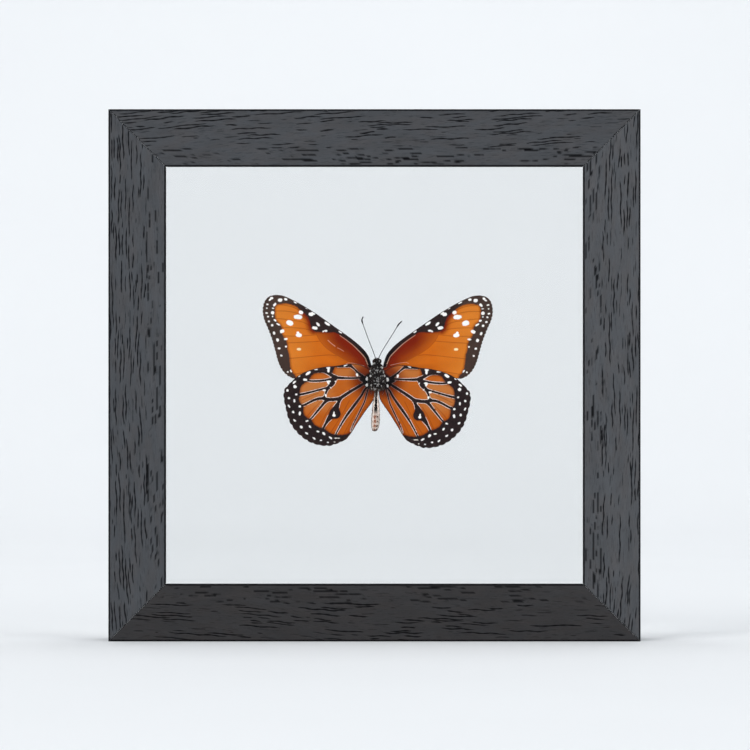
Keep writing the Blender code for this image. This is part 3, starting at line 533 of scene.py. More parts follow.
def stained_wood_group():
    """Open-pored stain, with painted shade along its edges. It reads a place on the moulding: along, in from
    the outside, back from the front.
    """
    net, given, out = new_group(
        "Open Pored Stain",
        (("Stain", "Color", (0.07,) * 3), ("Pore", "Color", (0.006,) * 3), ("Seed", "Float", 0.0)),
        (("Color", "Color"), ("Roughness", "Float"), ("Height", "Float")),
    )
    along, inset, depth = net.split(net.attribute("grain", "Vector"))
    seed = given["Seed"]
    level = net.attribute("level") - depth * 0.6
    deep = depth + seed
    fibre = net.noise(net.vector(along * 0.22, level * 4.2, deep), 1.0, 3.0, 0.6)
    mottle = net.noise(net.vector(along * 0.06, level * 0.22, deep), 1.0, 2.0)
    fleck = net.noise(net.vector(along * 0.9, level * 2.6, deep), 1.0, 3.0, 0.65)
    stain = net.dimmed(given["Stain"], 0.28 + fibre * 0.7 + mottle * 0.45 + fleck * 0.38)
    warm = net.step(net.noise(net.vector(along * 0.1, level * 0.3, seed), 1.0, 2.0), 0.35, 0.7)
    stain = net.mix(warm, stain, net.mix(1.0, stain, (1.06, 0.99, 0.95), "MULTIPLY"))
    # Fine pores too small to be cut into the surface
    random = net.cells(net.vector(along * 0.5, level * 3.6, 0.0))
    fine = net.step(random, 0.84, 0.9) * net.step(fibre, 0.62, 0.4)
    # Painted shade along the outer arris and along the edge round the opening, and the dark mitre joint
    wander = (fleck - 0.5) * 0.25
    outer = net.step(inset + depth + wander, 0.75, 0.42)
    inner = net.step(FACE_WIDTH / MM - inset + wander, 0.5, 0.3)
    nick = net.step(net.noise(net.vector(along, inset, seed), 1.3, 2.0), 0.56, 0.75) * 0.4
    mitre = net.step(HALF_SIDE / MM - inset - abs(along) - nick, 0.32, 0.15)
    edge_shade_and_mitre = net.largest(outer, inner, mitre)
    dark = net.largest(net.attribute("pore"), fine * 0.3, edge_shade_and_mitre * 0.92)
    net.feed(out["Color"], net.mix(dark, stain, given["Pore"]))
    net.feed(out["Roughness"], 0.5 + dark * 0.3)
    net.feed(out["Height"], fibre * 0.6 + fleck * 0.4 - fine)
    return net.tree


def stained_wood(name, tree, stain, pore, seed):
    """The stain of one length, with its painted light or shade, satin between its pores."""
    material, net, shader = new_finish(name)
    made = use_group(net, tree, Stain=stain, Pore=pore, Seed=seed)
    net.feed(shader.inputs["Base Color"], made["Color"])
    net.feed(shader.inputs["Roughness"], made["Roughness"])
    net.feed(shader.inputs["Specular IOR Level"], 0.8 - made["Roughness"])
    add_bump(net, shader, made["Height"], 0.05 * MM, 0.7)
    return material


def wing_group():
    """Wing scales. Distances are in millimetres and are stored on each wing's points."""
    colours = ("Ground", "Light", "Deep", "Ink", "Dusk", "Chalk", "Edge Chalk", "Cream")
    net, given, out = new_group(
        "Wing Scales",
        tuple((name, "Color", (0.5, 0.5, 0.5)) for name in colours)
        + (("Edging", "Float", 1.0), ("Vein Growth", "Float", 0.0), ("Spot Growth", "Float", 0.0)),
        (("Color", "Color"), ("Height", "Float")),
    )
    place = net.millimetres()
    grit = net.noise(place, 1.6, 3.0, 0.6) - 0.5
    powder = net.noise(place, 7.0, 2.0, 0.7)
    cloud = net.noise(place, 0.3, 2.0) - 0.5
    glow = net.math("ADD", net.attribute("glow"), cloud * 0.6, clamp=True)
    colour = net.mix(glow, given["Ground"], given["Light"])
    deep = net.math("ADD", net.attribute("deep"), cloud * 0.12, clamp=True)
    colour = net.mix(deep, colour, given["Deep"])
    colour = net.mix(net.step(net.attribute("fold"), 0.22, 0.02) * 0.5, colour, given["Deep"])
    vein = net.attribute("vein") - given["Vein Growth"]
    rim = net.attribute("rim") + grit * 0.6
    shade = net.step(net.math("MINIMUM", vein * 1.6, rim), 0.9, 0.1) * 0.5
    colour = net.mix(shade, colour, given["Deep"])
    edging = net.step(vein + grit * 0.22, 0.27, 0.15) * given["Edging"]
    edging = edging * net.step(net.noise(place, 0.9, 2.0), 0.25, 0.45)
    colour = net.mix(edging * net.attribute("pale"), colour, given["Edge Chalk"])
    colour = net.mix(net.step(vein + grit * 0.12, 0.08, -0.04), colour, given["Ink"])
    dusk = net.math("ADD", net.attribute("dusk"), grit * 0.5, clamp=True)
    border = net.mix(dusk, given["Ink"], given["Dusk"])
    colour = net.mix(net.step(rim, 0.3, -0.2), colour, border)
    colour = net.mix(net.attribute("night") * net.step(rim, 1.1, -0.1), colour, (0.003, 0.002, 0.003))
    thread = net.step(net.attribute("thread"), 0.05, -0.05) * given["Edging"]
    colour = net.mix(thread * 0.65, colour, net.mix(0.5, given["Light"], given["Edge Chalk"]))
    spot = net.attribute("spot") - given["Spot Growth"]
    spot = net.step(spot + grit * 0.36, 0.1, -0.07)
    colour = net.mix(spot, colour, net.mix(net.attribute("cream"), given["Chalk"], given["Cream"]))
    edge = net.attribute("edge")
    colour = net.mix(net.step(edge + grit * 0.15, 0.27, 0.14), colour, border)
    fringe = net.step(edge + grit * 0.2, 0.16, 0.06) * net.attribute("fringe")
    colour = net.mix(fringe * 0.6, colour, given["Chalk"])
    net.feed(out["Color"], net.dimmed(colour, 0.9 + powder * 0.2))
    net.feed(out["Height"], powder + spot * 0.5)
    return net.tree


def wing_finish(name, tree, ground, light, deep, butterfly, edging=1.0, vein_growth=0.0, spot_growth=0.0):
    """The scales of one side of a wing."""
    material, net, shader = new_finish(name, roughness=0.62)
    made = use_group(net, tree, Ground=ground, Light=light, Deep=deep, Ink=butterfly.ink, Dusk=butterfly.dusk,
                     Chalk=butterfly.chalk, Edge_Chalk=butterfly.edge_chalk, Cream=butterfly.cream,
                     Edging=edging, Vein_Growth=vein_growth, Spot_Growth=spot_growth)
    net.feed(shader.inputs["Base Color"], made["Color"])
    shader.inputs["Specular IOR Level"].default_value = 0.0
    add_bump(net, shader, made["Height"], 0.03 * MM, 0.5)
    return material


def pile_finish(name, dark, pale, pale_attribute=None, roughness=0.6):
    """Black shell or hair, flecked with grey, with a pale share read from the piece's own points."""
    material, net, shader = new_finish(name, roughness=roughness)
    place = net.millimetres()
    grey = net.noise(place, 2.5, 3.0, 0.6)
    lift = net.step(grey, 0.5, 0.8)
    colour = net.mix(lift, dark, scaled(dark, 6))
    if pale_attribute:
        colour = net.mix(net.attribute(pale_attribute), colour, pale)
    net.feed(shader.inputs["Base Color"], colour)
    shader.inputs["Specular IOR Level"].default_value = 0.05
    add_bump(net, shader, grey, 0.06 * MM, 0.7)
    return material


def abdomen_finish(butterfly):
    """Pinkish-white flanks and a black middle line that breaks up into brown marks towards the tail."""
    material, net, shader = new_finish("abdomen_scales", roughness=0.65)
    place = net.millimetres()
    blot = net.noise(place, 1.0, 3.0, 0.6)
    drift = net.noise(place, 2.4, 3.0, 0.65) + blot - 1.0
    side = net.attribute("side") + drift * 0.7
    tail = net.attribute("tail")
    seam = net.step(net.attribute("ring") + drift * 1.8, 0.65, 0.25)

    def stripe(centre, half):
        return net.step(abs(side - centre), half + 0.06, half - 0.05)

    def mark(colour, where, share, paint):
        return net.mix(where * share, colour, paint)

    upper = 1.0 - tail
    shaded = net.step(side, 0.2, 0.5) * 0.55
    colour = mark(butterfly.flank, net.step(blot, 0.48, 0.62), shaded, (0.3, 0.25, 0.2))
    colour = mark(colour, seam, 0.25, (0.35, 0.2, 0.15))
    middle, edge = (-0.16, 0.3, 0.5, butterfly.belly), (0.42, 0.2, 0.3, (0.08, 0.04, 0.03))
    for centre, half, least, paint in (middle, edge):
        colour = mark(colour, stripe(centre, half), tail * net.math("ADD", least, seam, clamp=True), paint)
    colour = mark(colour, stripe(-0.88, 0.14), 0.6 + upper * 0.35, (0.05, 0.025, 0.02))
    colour = mark(colour, stripe(0.9, 0.12), 0.65, (0.10, 0.06, 0.05))
    colour = mark(colour, stripe(-0.04, 0.41), upper, (0.006, 0.0035, 0.0035))
    colour = net.mix(net.attribute("tip") * 0.85, colour, (0.06, 0.026, 0.02))
    colour = net.mix(net.attribute("root") * 0.75, colour, (0.02, 0.014, 0.012))
    net.feed(shader.inputs["Base Color"], colour)
    shader.inputs["Specular IOR Level"].default_value = 0.1
    add_bump(net, shader, net.noise(place, 6.0, 2.0), 0.012 * MM, 0.5)
    return material


def clear_finish(name, tint, ior, roughness):
    """Clear glass or glue that lets the lamps through."""
    material, net, shader = new_finish(name, roughness=roughness)
    shader.inputs["Base Color"].default_value = (*tint, 1)
    shader.inputs["Transmission Weight"].default_value = 1.0
    shader.inputs["IOR"].default_value = ior
    haze = net.noise(net.millimetres(), 0.02, 2.0)
    net.feed(shader.inputs["Roughness"], net.step(haze, 0.5, 0.9) * 0.004)
    through = net.node("BsdfTransparent")
    through.inputs[0].default_value = (*tint, 1)
    net.swap(shader, through, net.light_path("Is Shadow Ray"))
    return material


def painted_finish(name, paint, grain):
    """Matt black paint with a faint grain along the longest way of the strip."""
    material, net, shader = new_finish(name)
    stretched = net.run("Mapping", {"Vector": net.millimetres(), "Scale": grain})
    streak = net.noise(stretched, 1.0, 4.0, 0.6)
    colour = net.mix(net.step(streak, 0.35, 0.75), paint, scaled(paint, 2.2))
    net.feed(shader.inputs["Base Color"], colour)
    net.feed(shader.inputs["Roughness"], 0.6 + streak * 0.2)
    add_bump(net, shader, streak, 0.1 * MM, 0.5)
    return material


def zinc_finish():
    """Spangled zinc with fine scratches."""
    material, net, shader = new_finish("zinc_steel", roughness=0.35, metallic=1.0)
    place = net.millimetres()
    random = net.cells(place, 0.9)
    scratch = net.noise(place, 3.0, 4.0, 0.7)
    colour = net.mix(random, (0.42, 0.43, 0.45), (0.62, 0.62, 0.63))
    net.feed(shader.inputs["Base Color"], colour)
    net.feed(shader.inputs["Roughness"], 0.25 + scratch * 0.3)
    add_bump(net, shader, scratch, 0.03 * MM, 0.4)
    return material


def mirrored(net):
    """1 for what is seen in a reflection."""
    return net.math("GREATER_THAN", net.light_path("Glossy Depth"), 0.5)


def sweep_finish(colour):
    """A matt, hardly clouded paint."""
    material, net, shader = new_finish("studio_sweep", roughness=0.9)
    tone = net.noise(net.run("TexCoord", {}, "Object"), 6.0, 3.0)
    net.feed(shader.inputs["Base Color"], net.dimmed(colour, 0.985 + tone * 0.03))
    shader.inputs["Specular IOR Level"].default_value = 0.1
    # Mostly clear where it's mirrored, as if a black card stood in front of it
    net.swap(shader, net.node("BsdfTransparent"), mirrored(net) * 0.97)
    return material


# ---------------------------------------------------------------- mesh tools


def select_only(*chosen):
    for obj in bpy.context.view_layer.objects:
        obj.select_set(obj in chosen)
    if chosen:
        bpy.context.view_layer.objects.active = chosen[0]


def start_block(name, low, high):
    """A box between two corners, active, alone selected and with its place in its mesh."""
    select_only()
    low, high = Vector(low), Vector(high)
    bpy.ops.mesh.primitive_cube_add(size=1, location=(low + high) / 2)
    obj = bpy.context.object
    obj.name = obj.data.name = name
    obj.scale = high - low
    bpy.ops.object.transform_apply(location=True, rotation=True, scale=True)
    return obj


def pick(obj, kind, test):
    """In edit mode, selects the faces or edges that pass a test, and nothing else."""
    bpy.ops.mesh.select_mode(type=kind)
    bpy.ops.mesh.select_all(action="DESELECT")
    mesh = bmesh.from_edit_mesh(obj.data)
    for item in mesh.faces if kind == "FACE" else mesh.edges:
        item.select_set(bool(test(item)))
    bmesh.update_edit_mesh(obj.data)


def slice_through(point, normal, keep_both=False):
    """Cuts the whole edited mesh with a plane. Unless both sides are kept, the one behind the plane goes."""
    bpy.ops.mesh.select_all(action="SELECT")
    bpy.ops.mesh.bisect(plane_co=point, plane_no=normal, use_fill=not keep_both, clear_inner=not keep_both,
                        threshold=1e-7)


def smooth_by_angle(obj, degrees):
    select_only(obj)
    bpy.ops.object.shade_smooth_by_angle(angle=math.radians(degrees))


def quarter_turn(step):
    """Carries the bottom of the frame to its left, top and right sides in turn."""
    middle = Matrix.Translation(FRAME_CENTRE)
    return middle @ Matrix.Rotation(math.radians(90 * step), 4, "Y") @ middle.inverted()


def mesh_object(name, points, faces):
    mesh = bpy.data.meshes.new(name)
    mesh.from_pydata([tuple(map(float, point)) for point in points], [],
                     [tuple(map(int, face)) for face in faces])
    mesh.update()
    obj = bpy.data.objects.new(name, mesh)
    bpy.context.scene.collection.objects.link(obj)
    mesh.shade_smooth()
    return obj


def store(obj, name, values):
    """Keeps one number for each point of a mesh, for its finish to read."""
    attribute = obj.data.attributes.new(name, "FLOAT", "POINT")
    attribute.data.foreach_set("value", np.asarray(values, np.float32))


def face_out(obj):
    """Turns all faces outwards."""
    work = bmesh.new()
    work.from_mesh(obj.data)
    bmesh.ops.recalc_face_normals(work, faces=work.faces[:])
    if work.calc_volume(signed=True) < 0:
        bmesh.ops.reverse_faces(work, faces=work.faces[:])
    work.to_mesh(obj.data)
    work.free()


def finish_piece(obj, slot, replaced, *materials):
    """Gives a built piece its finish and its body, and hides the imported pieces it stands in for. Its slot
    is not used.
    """
    for material in materials:
        obj.data.materials.append(material)
    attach(obj, BODY)
    if replaced:
        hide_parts(*replaced)


def dress_node(name, material):
    """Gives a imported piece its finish."""
    node = frame["nodes"][name]
    node.data.materials.clear()
    node.data.materials.append(material)


def placed(points):
    """Millimetres from the thorax to the row frame."""
    return np.asarray(points, float) * SPECIMEN_UNIT + np.array(SPECIMEN_ORIGIN)


# ---------------------------------------------------------------- curves and fields


def smooth_line(points, step):
    """Evenly spaced points on a Catmull-Rom curve through the given ones, as rows."""
    knots = np.array(points, float)
    knots = np.vstack([2 * knots[0] - knots[1], knots, 2 * knots[-1] - knots[-2]])
    share = np.linspace(0, 1, 24, endpoint=False)[:, None]
    fine = []
    for a, b, c, d in zip(knots, knots[1:], knots[2:], knots[3:]):
        fine.append(0.5 * (2 * b + (c - a) * share + (2 * a - 5 * b + 4 * c - d) * share**2
                           + (3 * b - a - 3 * c + d) * share**3))
    fine = np.vstack([*fine, knots[-2]])
    travelled = np.concatenate([[0], np.cumsum(np.linalg.norm(np.diff(fine, axis=0), axis=1))])
    even = np.linspace(0, travelled[-1], max(3, round(travelled[-1] / step) + 1))
    return np.stack([np.interp(even, travelled, column) for column in fine.T], axis=1)


def scalloped(points, lobe_length, lobe_height):
    """Lobes along an evenly spaced run. Returns the points and the number of lobes."""
    length = np.linalg.norm(np.diff(points, axis=0), axis=1).sum()
    lobes = round(length / lobe_length)
    share = np.linspace(0, 1, len(points))
    along = np.gradient(points, axis=0)
    along /= np.linalg.norm(along, axis=1)[:, None]
    uneven = 0.75 + 0.35 * np.sin(share * 31) * np.sin(share * 17 + 1)
    lobe = (np.abs(np.sin(np.pi * lobes * share)) - 0.5) * uneven
    fade = np.clip(np.minimum(8 * share, 8 * (1 - share)), 0, 1)
    outward = np.stack([-along[:, 1], along[:, 0]], axis=1)
    return points + outward * (lobe_height * lobe * fade)[:, None], lobes


def near_line(points, line):
    """Each point's distance to a polyline, and how far along it the nearest place is, from 0 to 1."""
    start, way = line[:-1], np.diff(line, axis=0)
    square = np.maximum((way**2).sum(1), 1e-12)
    distances, shares = [], []
    for some in np.array_split(points, max(1, len(points) // 3000)):
        gap = some[:, None] - start
        share = ((gap * way).sum(2) / square).clip(0, 1)
        gap = np.linalg.norm(gap - share[..., None] * way, axis=2)
        best = gap.argmin(1)
        rows = np.arange(len(some))
        distances.append(gap[rows, best])
        shares.append((best + share[rows, best]) / len(start))
    return np.concatenate(distances), np.concatenate(shares)


def inside(points, ring):
    """True for each point inside a closed ring."""
    x, y = points[:, 0], points[:, 1]
    hit = np.zeros(len(points), bool)
    for (ax, ay), (bx, by) in zip(ring, np.roll(ring, -1, axis=0)):
        crosses = (ay > y) != (by > y)
        if ay != by:
            hit ^= crosses & (x < (bx - ax) * (y - ay) / (by - ay) + ax)
    return hit


def signed_distance(points, ring):
    """Distance to a closed ring, positive inside it."""
    closed = np.vstack([ring, ring[:1]])
    distance, _ = near_line(points, closed)
    return np.where(inside(points, ring), distance, -distance)


def ramp(values, low, high):
    """0 at low to 1 at high, smoothly."""
    share = ((values - low) / (high - low)).clip(0, 1)
    return share * share * (3 - 2 * share)


def webbed(a, b, reach):
    """The smaller of two distances, with a web filling the corner where both are small."""
    blend = np.clip(0.5 + 0.5 * (b - a) / reach, 0, 1)
    return b + (a - b) * blend - reach * blend * (1 - blend) * 0.6


def spot_field(points, spots):
    """Distance outside the nearest spot's edge, in millimetres, negative inside it."""
    nearest = np.full(len(points), FAR)
    for x, z, length, width, lean in spots:
        turn = math.radians(lean)
        dx, dz = points[:, 0] - x, points[:, 1] - z
        along = (dx * math.cos(turn) + dz * math.sin(turn)) / (length / 2)
        across = (dz * math.cos(turn) - dx * math.sin(turn)) / (width / 2)
        reach = (np.abs(along) ** 2.4 + np.abs(across) ** 2.4) ** (1 / 2.4)
        nearest = np.minimum(nearest, (reach - 1) * min(length, width) / 2)
    return nearest


def wing_sheet(kind, pitch):
    """A flat wing filled with evenly spread points: points, triangles and the parts of its outline."""
    runs = PLANS[kind]["runs"]
    leading, trailing = smooth_line(runs[0], 0.3), smooth_line(runs[2], 0.3)
    margin, lobes = scalloped(smooth_line(runs[1], 0.12), *SCALLOPS[kind])
    ring = np.vstack([leading[:-1], margin[:-1], trailing])
    low, high = ring.min(0), ring.max(0)
    rows = []
    for index, z in enumerate(np.arange(low[1], high[1], pitch * 0.866)):
        xs = np.arange(low[0] + (index % 2) * pitch / 2, high[0], pitch)
        rows.append(np.stack([xs, np.full(len(xs), z)], axis=1))
    spread = np.vstack(rows)
    spread = spread[signed_distance(spread, ring) > 0.55 * pitch]
    points = np.vstack([ring, spread])
    count = len(ring)
    edges = [(i, (i + 1) % count) for i in range(count)]
    found = delaunay_2d_cdt([Vector(point) for point in points], edges, [], 1, 1e-6)
    points = np.array([tuple(point) for point in found[0]])
    return points, np.array(found[2]), (leading, margin, trailing, lobes)


def nearest_line(points, lines):
    """Distance outside the nearest of some lines, each with its width."""
    gaps = [near_line(points, smooth_line(line, 0.3))[0] - width / 2 for line, width in lines]
    return np.min([np.full(len(points), FAR), *gaps], axis=0)


def wing_fields(kind, points, outline):
    """What the wing's finish reads at each point."""
    leading, margin, trailing, lobes = outline
    ring = np.vstack([leading[:-1], margin[:-1], trailing])
    edge, _ = near_line(points, np.vstack([ring, ring[:1]]))
    margin_gap, along_margin = near_line(points, margin)
    lobe = np.abs(np.sin(np.pi * lobes * along_margin))
    plan = PLANS[kind]
    fields = {
        "edge": edge,
        "fringe": (lobe < 0.55) * (margin_gap < 0.5) * (along_margin > 0.12) * (along_margin < 0.97),
        "rim": signed_distance(points, smooth_line([*plan["field"], plan["field"][0]], 0.25)[:-1]),
        "spot": spot_field(points, plan["spots"]),
        "fold": np.min([near_line(points, smooth_line(line, 0.4))[0] for line in plan["folds"]], axis=0),
        "thread": nearest_line(points, plan["threads"]),
        "vein": np.full(len(points), FAR),
    }
    for line, widths in plan["veins"]:
        distance, share = near_line(points, smooth_line(line, 0.3))
        half = np.interp(share, np.linspace(0, 1, len(widths)), widths) / 2
        fields["vein"] = webbed(fields["vein"], distance - half, 0.7)
    if kind == "forewing":
        forewing_shades(points, leading, fields)
    else:
        hindwing_shades(points, trailing, fields)
    fields["night"] = 1 - ramp(np.hypot(points[:, 0] - 1, points[:, 1]), *plan["night"])
    return fields


def forewing_shades(points, leading, fields):
    """Maroon in the cell and beside the border, a paler outer field and a lining along the front edge."""
    x, z = points.T
    from_root = np.hypot(x - 2, z)
    costa = near_line(points, leading)[0]
    in_cell = ramp(signed_distance(points, np.array(FOREWING_CELL)), -0.15, 0.3)
    cell = (1 - 0.5 * ramp(costa, 2.5, 8.5)) * (1 - 0.5 * ramp(x, 12.0, 20.0))
    below = 0.34 * (1 - ramp(x, 5.0, 17.0)) + 0.5 * (1 - ramp(from_root, 2.0, 7.0))
    halo = (1 - ramp(fields["rim"], 0.0, 2.4)) * ramp(x, 19.5, 21.5) * (1 - ramp(x, 24.5, 26.5))
    fields["deep"] = np.maximum(in_cell * cell + (1 - in_cell) * below, halo * (z > 15))
    fields["glow"] = ramp(x, 15.0, 33.0)
    fields["dusk"] = 0.15 + 0.85 * ramp(x, 24.0, 30.0)
    lining = np.abs(fields["rim"] - 0.32) - 0.045 + 0.2 * ramp(from_root, 10.0, 22.0)
    fields["thread"] = np.minimum(fields["thread"], lining + FAR * (x > z + 1))
    fields["pale"] = np.zeros(len(points))
    fields["cream"] = 0.85 * (np.hypot(x - 26.1, z - 10.1) < 1.6)


def hindwing_shades(points, trailing, fields):
    """The scent patch, black webs where veins meet the border, and paler outer cells."""
    x, z = points.T
    patch_x, patch_z, patch_radius = SCENT_PATCH
    patch = np.hypot((x - patch_x) * 0.95, z - patch_z) - patch_radius
    fields["vein"] = webbed(fields["vein"], patch, 0.9)
    anal = (1 - ramp(near_line(points, trailing)[0], 0.2, 2.2)) * (1 - ramp(z, -6.0, 0.0))
    rim = webbed(fields["rim"], fields["vein"] + 0.35, 1.8)
    fields["rim"] = np.minimum(rim, np.hypot(x - 0.8, (z + 0.5) * 1.35) - 3.6)
    fields["deep"] = np.maximum(0.95 * (1 - ramp(np.hypot(x - 2, z), 3.6, 9.0)), 0.6 * anal)
    outer_cells = ramp(x, 12.0, 18.0) * ramp(z, -13.0, -7.0)
    top_cell = 0.8 * ramp(z, 0.6, 1.6) * (1 - ramp(x, 13.0, 15.0))
    middle_cell = 0.15 * (1 - ramp(np.hypot(x - 12, z + 2.2), 2.0, 5.0))
    fields["glow"] = np.maximum.reduce([outer_cells * (1 - 0.8 * (z > 0.2)), top_cell, middle_cell])
    fields["dusk"] = 0.05 + 0.1 * ramp(fields["edge"], 2.0, 0.2)
    fields["pale"] = ramp(patch, 0.4, 0.9) * (0.3 + 0.7 * ramp(x, 5.0, 11.0))
    fields["cream"] = 0.3 * (z < -19.3) * (x < 14.4)


def wing_relief(kind, points, fields):
    """How far each point of a wing stands back from its flat sheet, in millimetres."""
    x, z = points.T
    reach = np.hypot(x, z) / WING_REACH
    depth = PLANS[kind]["depth"] + WING_RISE * reach**2
    angle = np.arctan2(z - (2 if kind == "forewing" else 0), x + 1)
    pleat = 0.09 * np.sin(angle * PLANS[kind]["pleats"]) * ramp(np.hypot(x, z), 6.0, 16.0)
    ridge = 0.05 * np.exp(-((fields["fold"] / 0.22) ** 2))
    if kind == "hindwing":
        ridge = np.maximum(ridge, 0.09 * (1 - ramp(fields["vein"], -0.25, 0.12)))
    curl = 0.25 * (1 - ramp(fields["edge"], 0.0, 1.5)) * ramp(reach, 0.5, 0.85)
    return depth + pleat - ridge + curl


def build_wing(name, kind, side, flat, materials):
    """One wing: the flat plan set out on its side, given its relief and made thick."""
    points, triangles, fields, relief = flat
    fields = dict(fields)
    if name == "forewing_left":
        fields["thread"] = np.minimum(fields["thread"], nearest_line(points, LEFT_SCRATCH))
    x, z = side * points[:, 0], points[:, 1]
    if side > 0:
        turn, across, up = RIGHT_SET[kind]
        turn = math.radians(turn)
        x, z = (x * math.cos(turn) + z * math.sin(turn) + across,
                z * math.cos(turn) - x * math.sin(turn) + up)
    rows = placed(np.stack([x, relief, z], axis=1))
    obj = mesh_object(name, rows, triangles if side > 0 else triangles[:, ::-1])
    for key, values in fields.items():
        store(obj, key, values)
    for material in materials:
        obj.data.materials.append(material)
    select_only(obj)
    sheet = obj.modifiers.new("Thickness", "SOLIDIFY")
    sheet.thickness, sheet.offset = WING_THICKNESS * MM, 0.0
    sheet.material_offset, sheet.material_offset_rim = 1, 0
    bpy.ops.object.modifier_apply(modifier=sheet.name)
    finish_piece(obj, f"{kind}_scales", [name])


# ---------------------------------------------------------------- grain


def grain_level(along, across, slant, seed):
    """Which line of grain passes through a place on a board, in millimetres."""
    drift = np.sin(along / 25 + seed) * np.cos(across / 12 + 2 * seed)
    return across + drift + 0.3 * np.sin(along / 9.0 + 3 * seed + across / 6) - slant * along


def open_grain(along, across, reach, low, high, slant, seed, crowding):
    """How deep the open grain is at each place of a board, from 0 to 1.

    The board runs from -reach to reach and from low to high, in millimetres.
    """
    rng = np.random.default_rng(seed)
    level = grain_level(along, across, slant, seed)
    depth = np.zeros(len(along))
    taken = []

    def cut(a, b, length, width, strength):
        for place, other, span in taken:
            if abs(b - other) < 0.55 and abs(a - place) < (length + span) / 2 + 0.6:
                return
        taken.append((a, b, length))
        near = np.flatnonzero((np.abs(along - a) < length / 2) & (np.abs(level - b) < 3 * width))
        share = np.abs(along[near] - a) / (length / 2)
        wave = b + width * 0.45 * np.sin((along[near] - a) * rng.uniform(0.4, 1.1) + rng.uniform(0, 6))
        taper = np.sqrt(np.clip(1 - share**4, 0, 1)) * (0.85 + 0.2 * np.sin(along[near] * 2.1 + b))
        groove = np.clip(2.2 * (1 - np.abs(level[near] - wave) / (width * taper + 1e-6)), 0, 1)
        depth[near] = np.maximum(depth[near], groove * strength)

    def start():
        a, b = rng.uniform(-reach, reach), rng.uniform(low, high)
        return a, grain_level(a, b, slant, seed)

    area = 2 * reach * (high - low)
    for _ in range(round(area * crowding / 95)):
        a, b = start()
        spread = rng.uniform(0.7, 2.2)
        for _ in range(rng.integers(2, 8)):
            length = rng.uniform(4.0, 20.0) * rng.uniform(0.6, 1.0)
            cut(a + rng.normal(0, 5.0), b + rng.normal(0, spread), length, rng.uniform(0.23, 0.34),
                rng.uniform(0.9, 1.0))
    for _ in range(round(area * crowding / 32)):
        a, b = start()
        cut(a, b, rng.uniform(1.0, 6.0), rng.uniform(0.15, 0.25), rng.uniform(0.5, 1.0))
    return depth


# ---------------------------------------------------------------- body tools


def skin(rings, sides, first=0):
    """Faces of a closed skin over rings of points. first is the index of the first point."""
    last = first + (rings - 1) * sides
    faces = []
    for low in range(first, last, sides):
        for i in range(sides):
            j = (i + 1) % sides
            faces.append((low + i, low + j, low + sides + j, low + sides + i))
    return faces + [tuple(range(first, first + sides))[::-1], tuple(range(last, last + sides))]


def loft(stations, sides):
    """Points and faces of a closed body through (height, across, depth, half width, half depth) sections."""
    angles = np.linspace(0, 2 * math.pi, sides, endpoint=False)
    points = [(x + half_x * math.cos(a), y + half_y * math.sin(a), z)
              for z, x, y, half_x, half_y in stations for a in angles]
    return np.array(points), skin(len(stations), sides)


def tube(path, radii, sides, first=0):
    """Points and faces of a round, closed tube along a path. first is the index of its first point."""
    path = np.array(path, float)
    ways = np.gradient(path, axis=0)
    ways /= np.linalg.norm(ways, axis=1)[:, None]
    up = Vector((0, 1, 0)) if abs(ways[0][1]) < 0.9 else Vector((1, 0, 0))
    points = []
    for centre, way, radius in zip(path, ways, radii):
        way, radius = Vector(way), float(radius)
        across = way.cross(up).normalized()
        up = across.cross(way).normalized()
        for i in range(sides):
            angle = 2 * math.pi * i / sides
            points.append(tuple(Vector(centre) + radius * (math.cos(angle) * across + math.sin(angle) * up)))
    return points, skin(len(path), sides, first)


def hairs(coat, radius, sag, rng, first=0):
    """Points, faces and pale shares of fine bent spikes, each closed.

    The coat has a root, a way, a length and a pale share for each. first is the index of the first point.
    """
    points, faces, shares = [], [], []
    for root, way, length, pale in coat:
        root, way = Vector(root), Vector(way).normalized()
        side = way.orthogonal().normalized()
        other = way.cross(side)
        bend = Vector(rng.normal(0, sag, 3)) * length
        middle = root + way * (length * 0.55) + bend * 0.35
        for centre, thick in ((root, radius), (middle, radius * 0.75)):
            for i in range(3):
                angle = 2 * math.pi * i / 3
                points.append(tuple(centre + thick * (math.cos(angle) * side + math.sin(angle) * other)))
        points.append(tuple(root + way * length + bend))
        shares += [float(pale)] * 7
        for i in range(3):
            j = (i + 1) % 3
            faces.append((first + i, first + j, first + 3 + j, first + 3 + i))
            faces.append((first + 3 + i, first + 3 + j, first + 6))
        faces.append((first + 2, first + 1, first))
        first += 7
    return points, faces, shares


def coat_piece(name, slot, coat, radius, sag, rng, finish):
    """A coat of hair as a piece of its own."""
    points, faces, pale = hairs(coat, radius, sag, rng)
    obj = mesh_object(name, placed(points), faces)
    store(obj, "pale", pale)
    finish_piece(obj, slot, [], finish)


def front_sections(z):
    """Sections of the thorax, or of the head above it."""
    return np.array(THORAX_STATIONS if z < NECK_HEIGHT else HEAD_STATIONS)


def section_at(stations, z):
    """Across, depth, half width and half depth of a body of sections at one height."""
    return [np.interp(z, stations[:, 0], column) for column in stations.T[1:]]


def around(stations, z, angle, share):
    """A place just inside the skin of a body of sections."""
    across, depth, half_x, half_y = section_at(stations, z)
    return across + half_x * share * math.cos(angle), depth + half_y * share * math.sin(angle), z


def thorax_surface(x, z):
    """Depth of the thorax's or head's front at a place on it, and the way out of it."""
    across, depth, half_x, half_y = section_at(front_sections(z), z)
    share = np.clip((x - across) / half_x, -0.97, 0.97)
    bulge = math.sqrt(1 - share**2)
    return depth - half_y * bulge, Vector((share / half_x, -bulge / half_y, 0)).normalized()


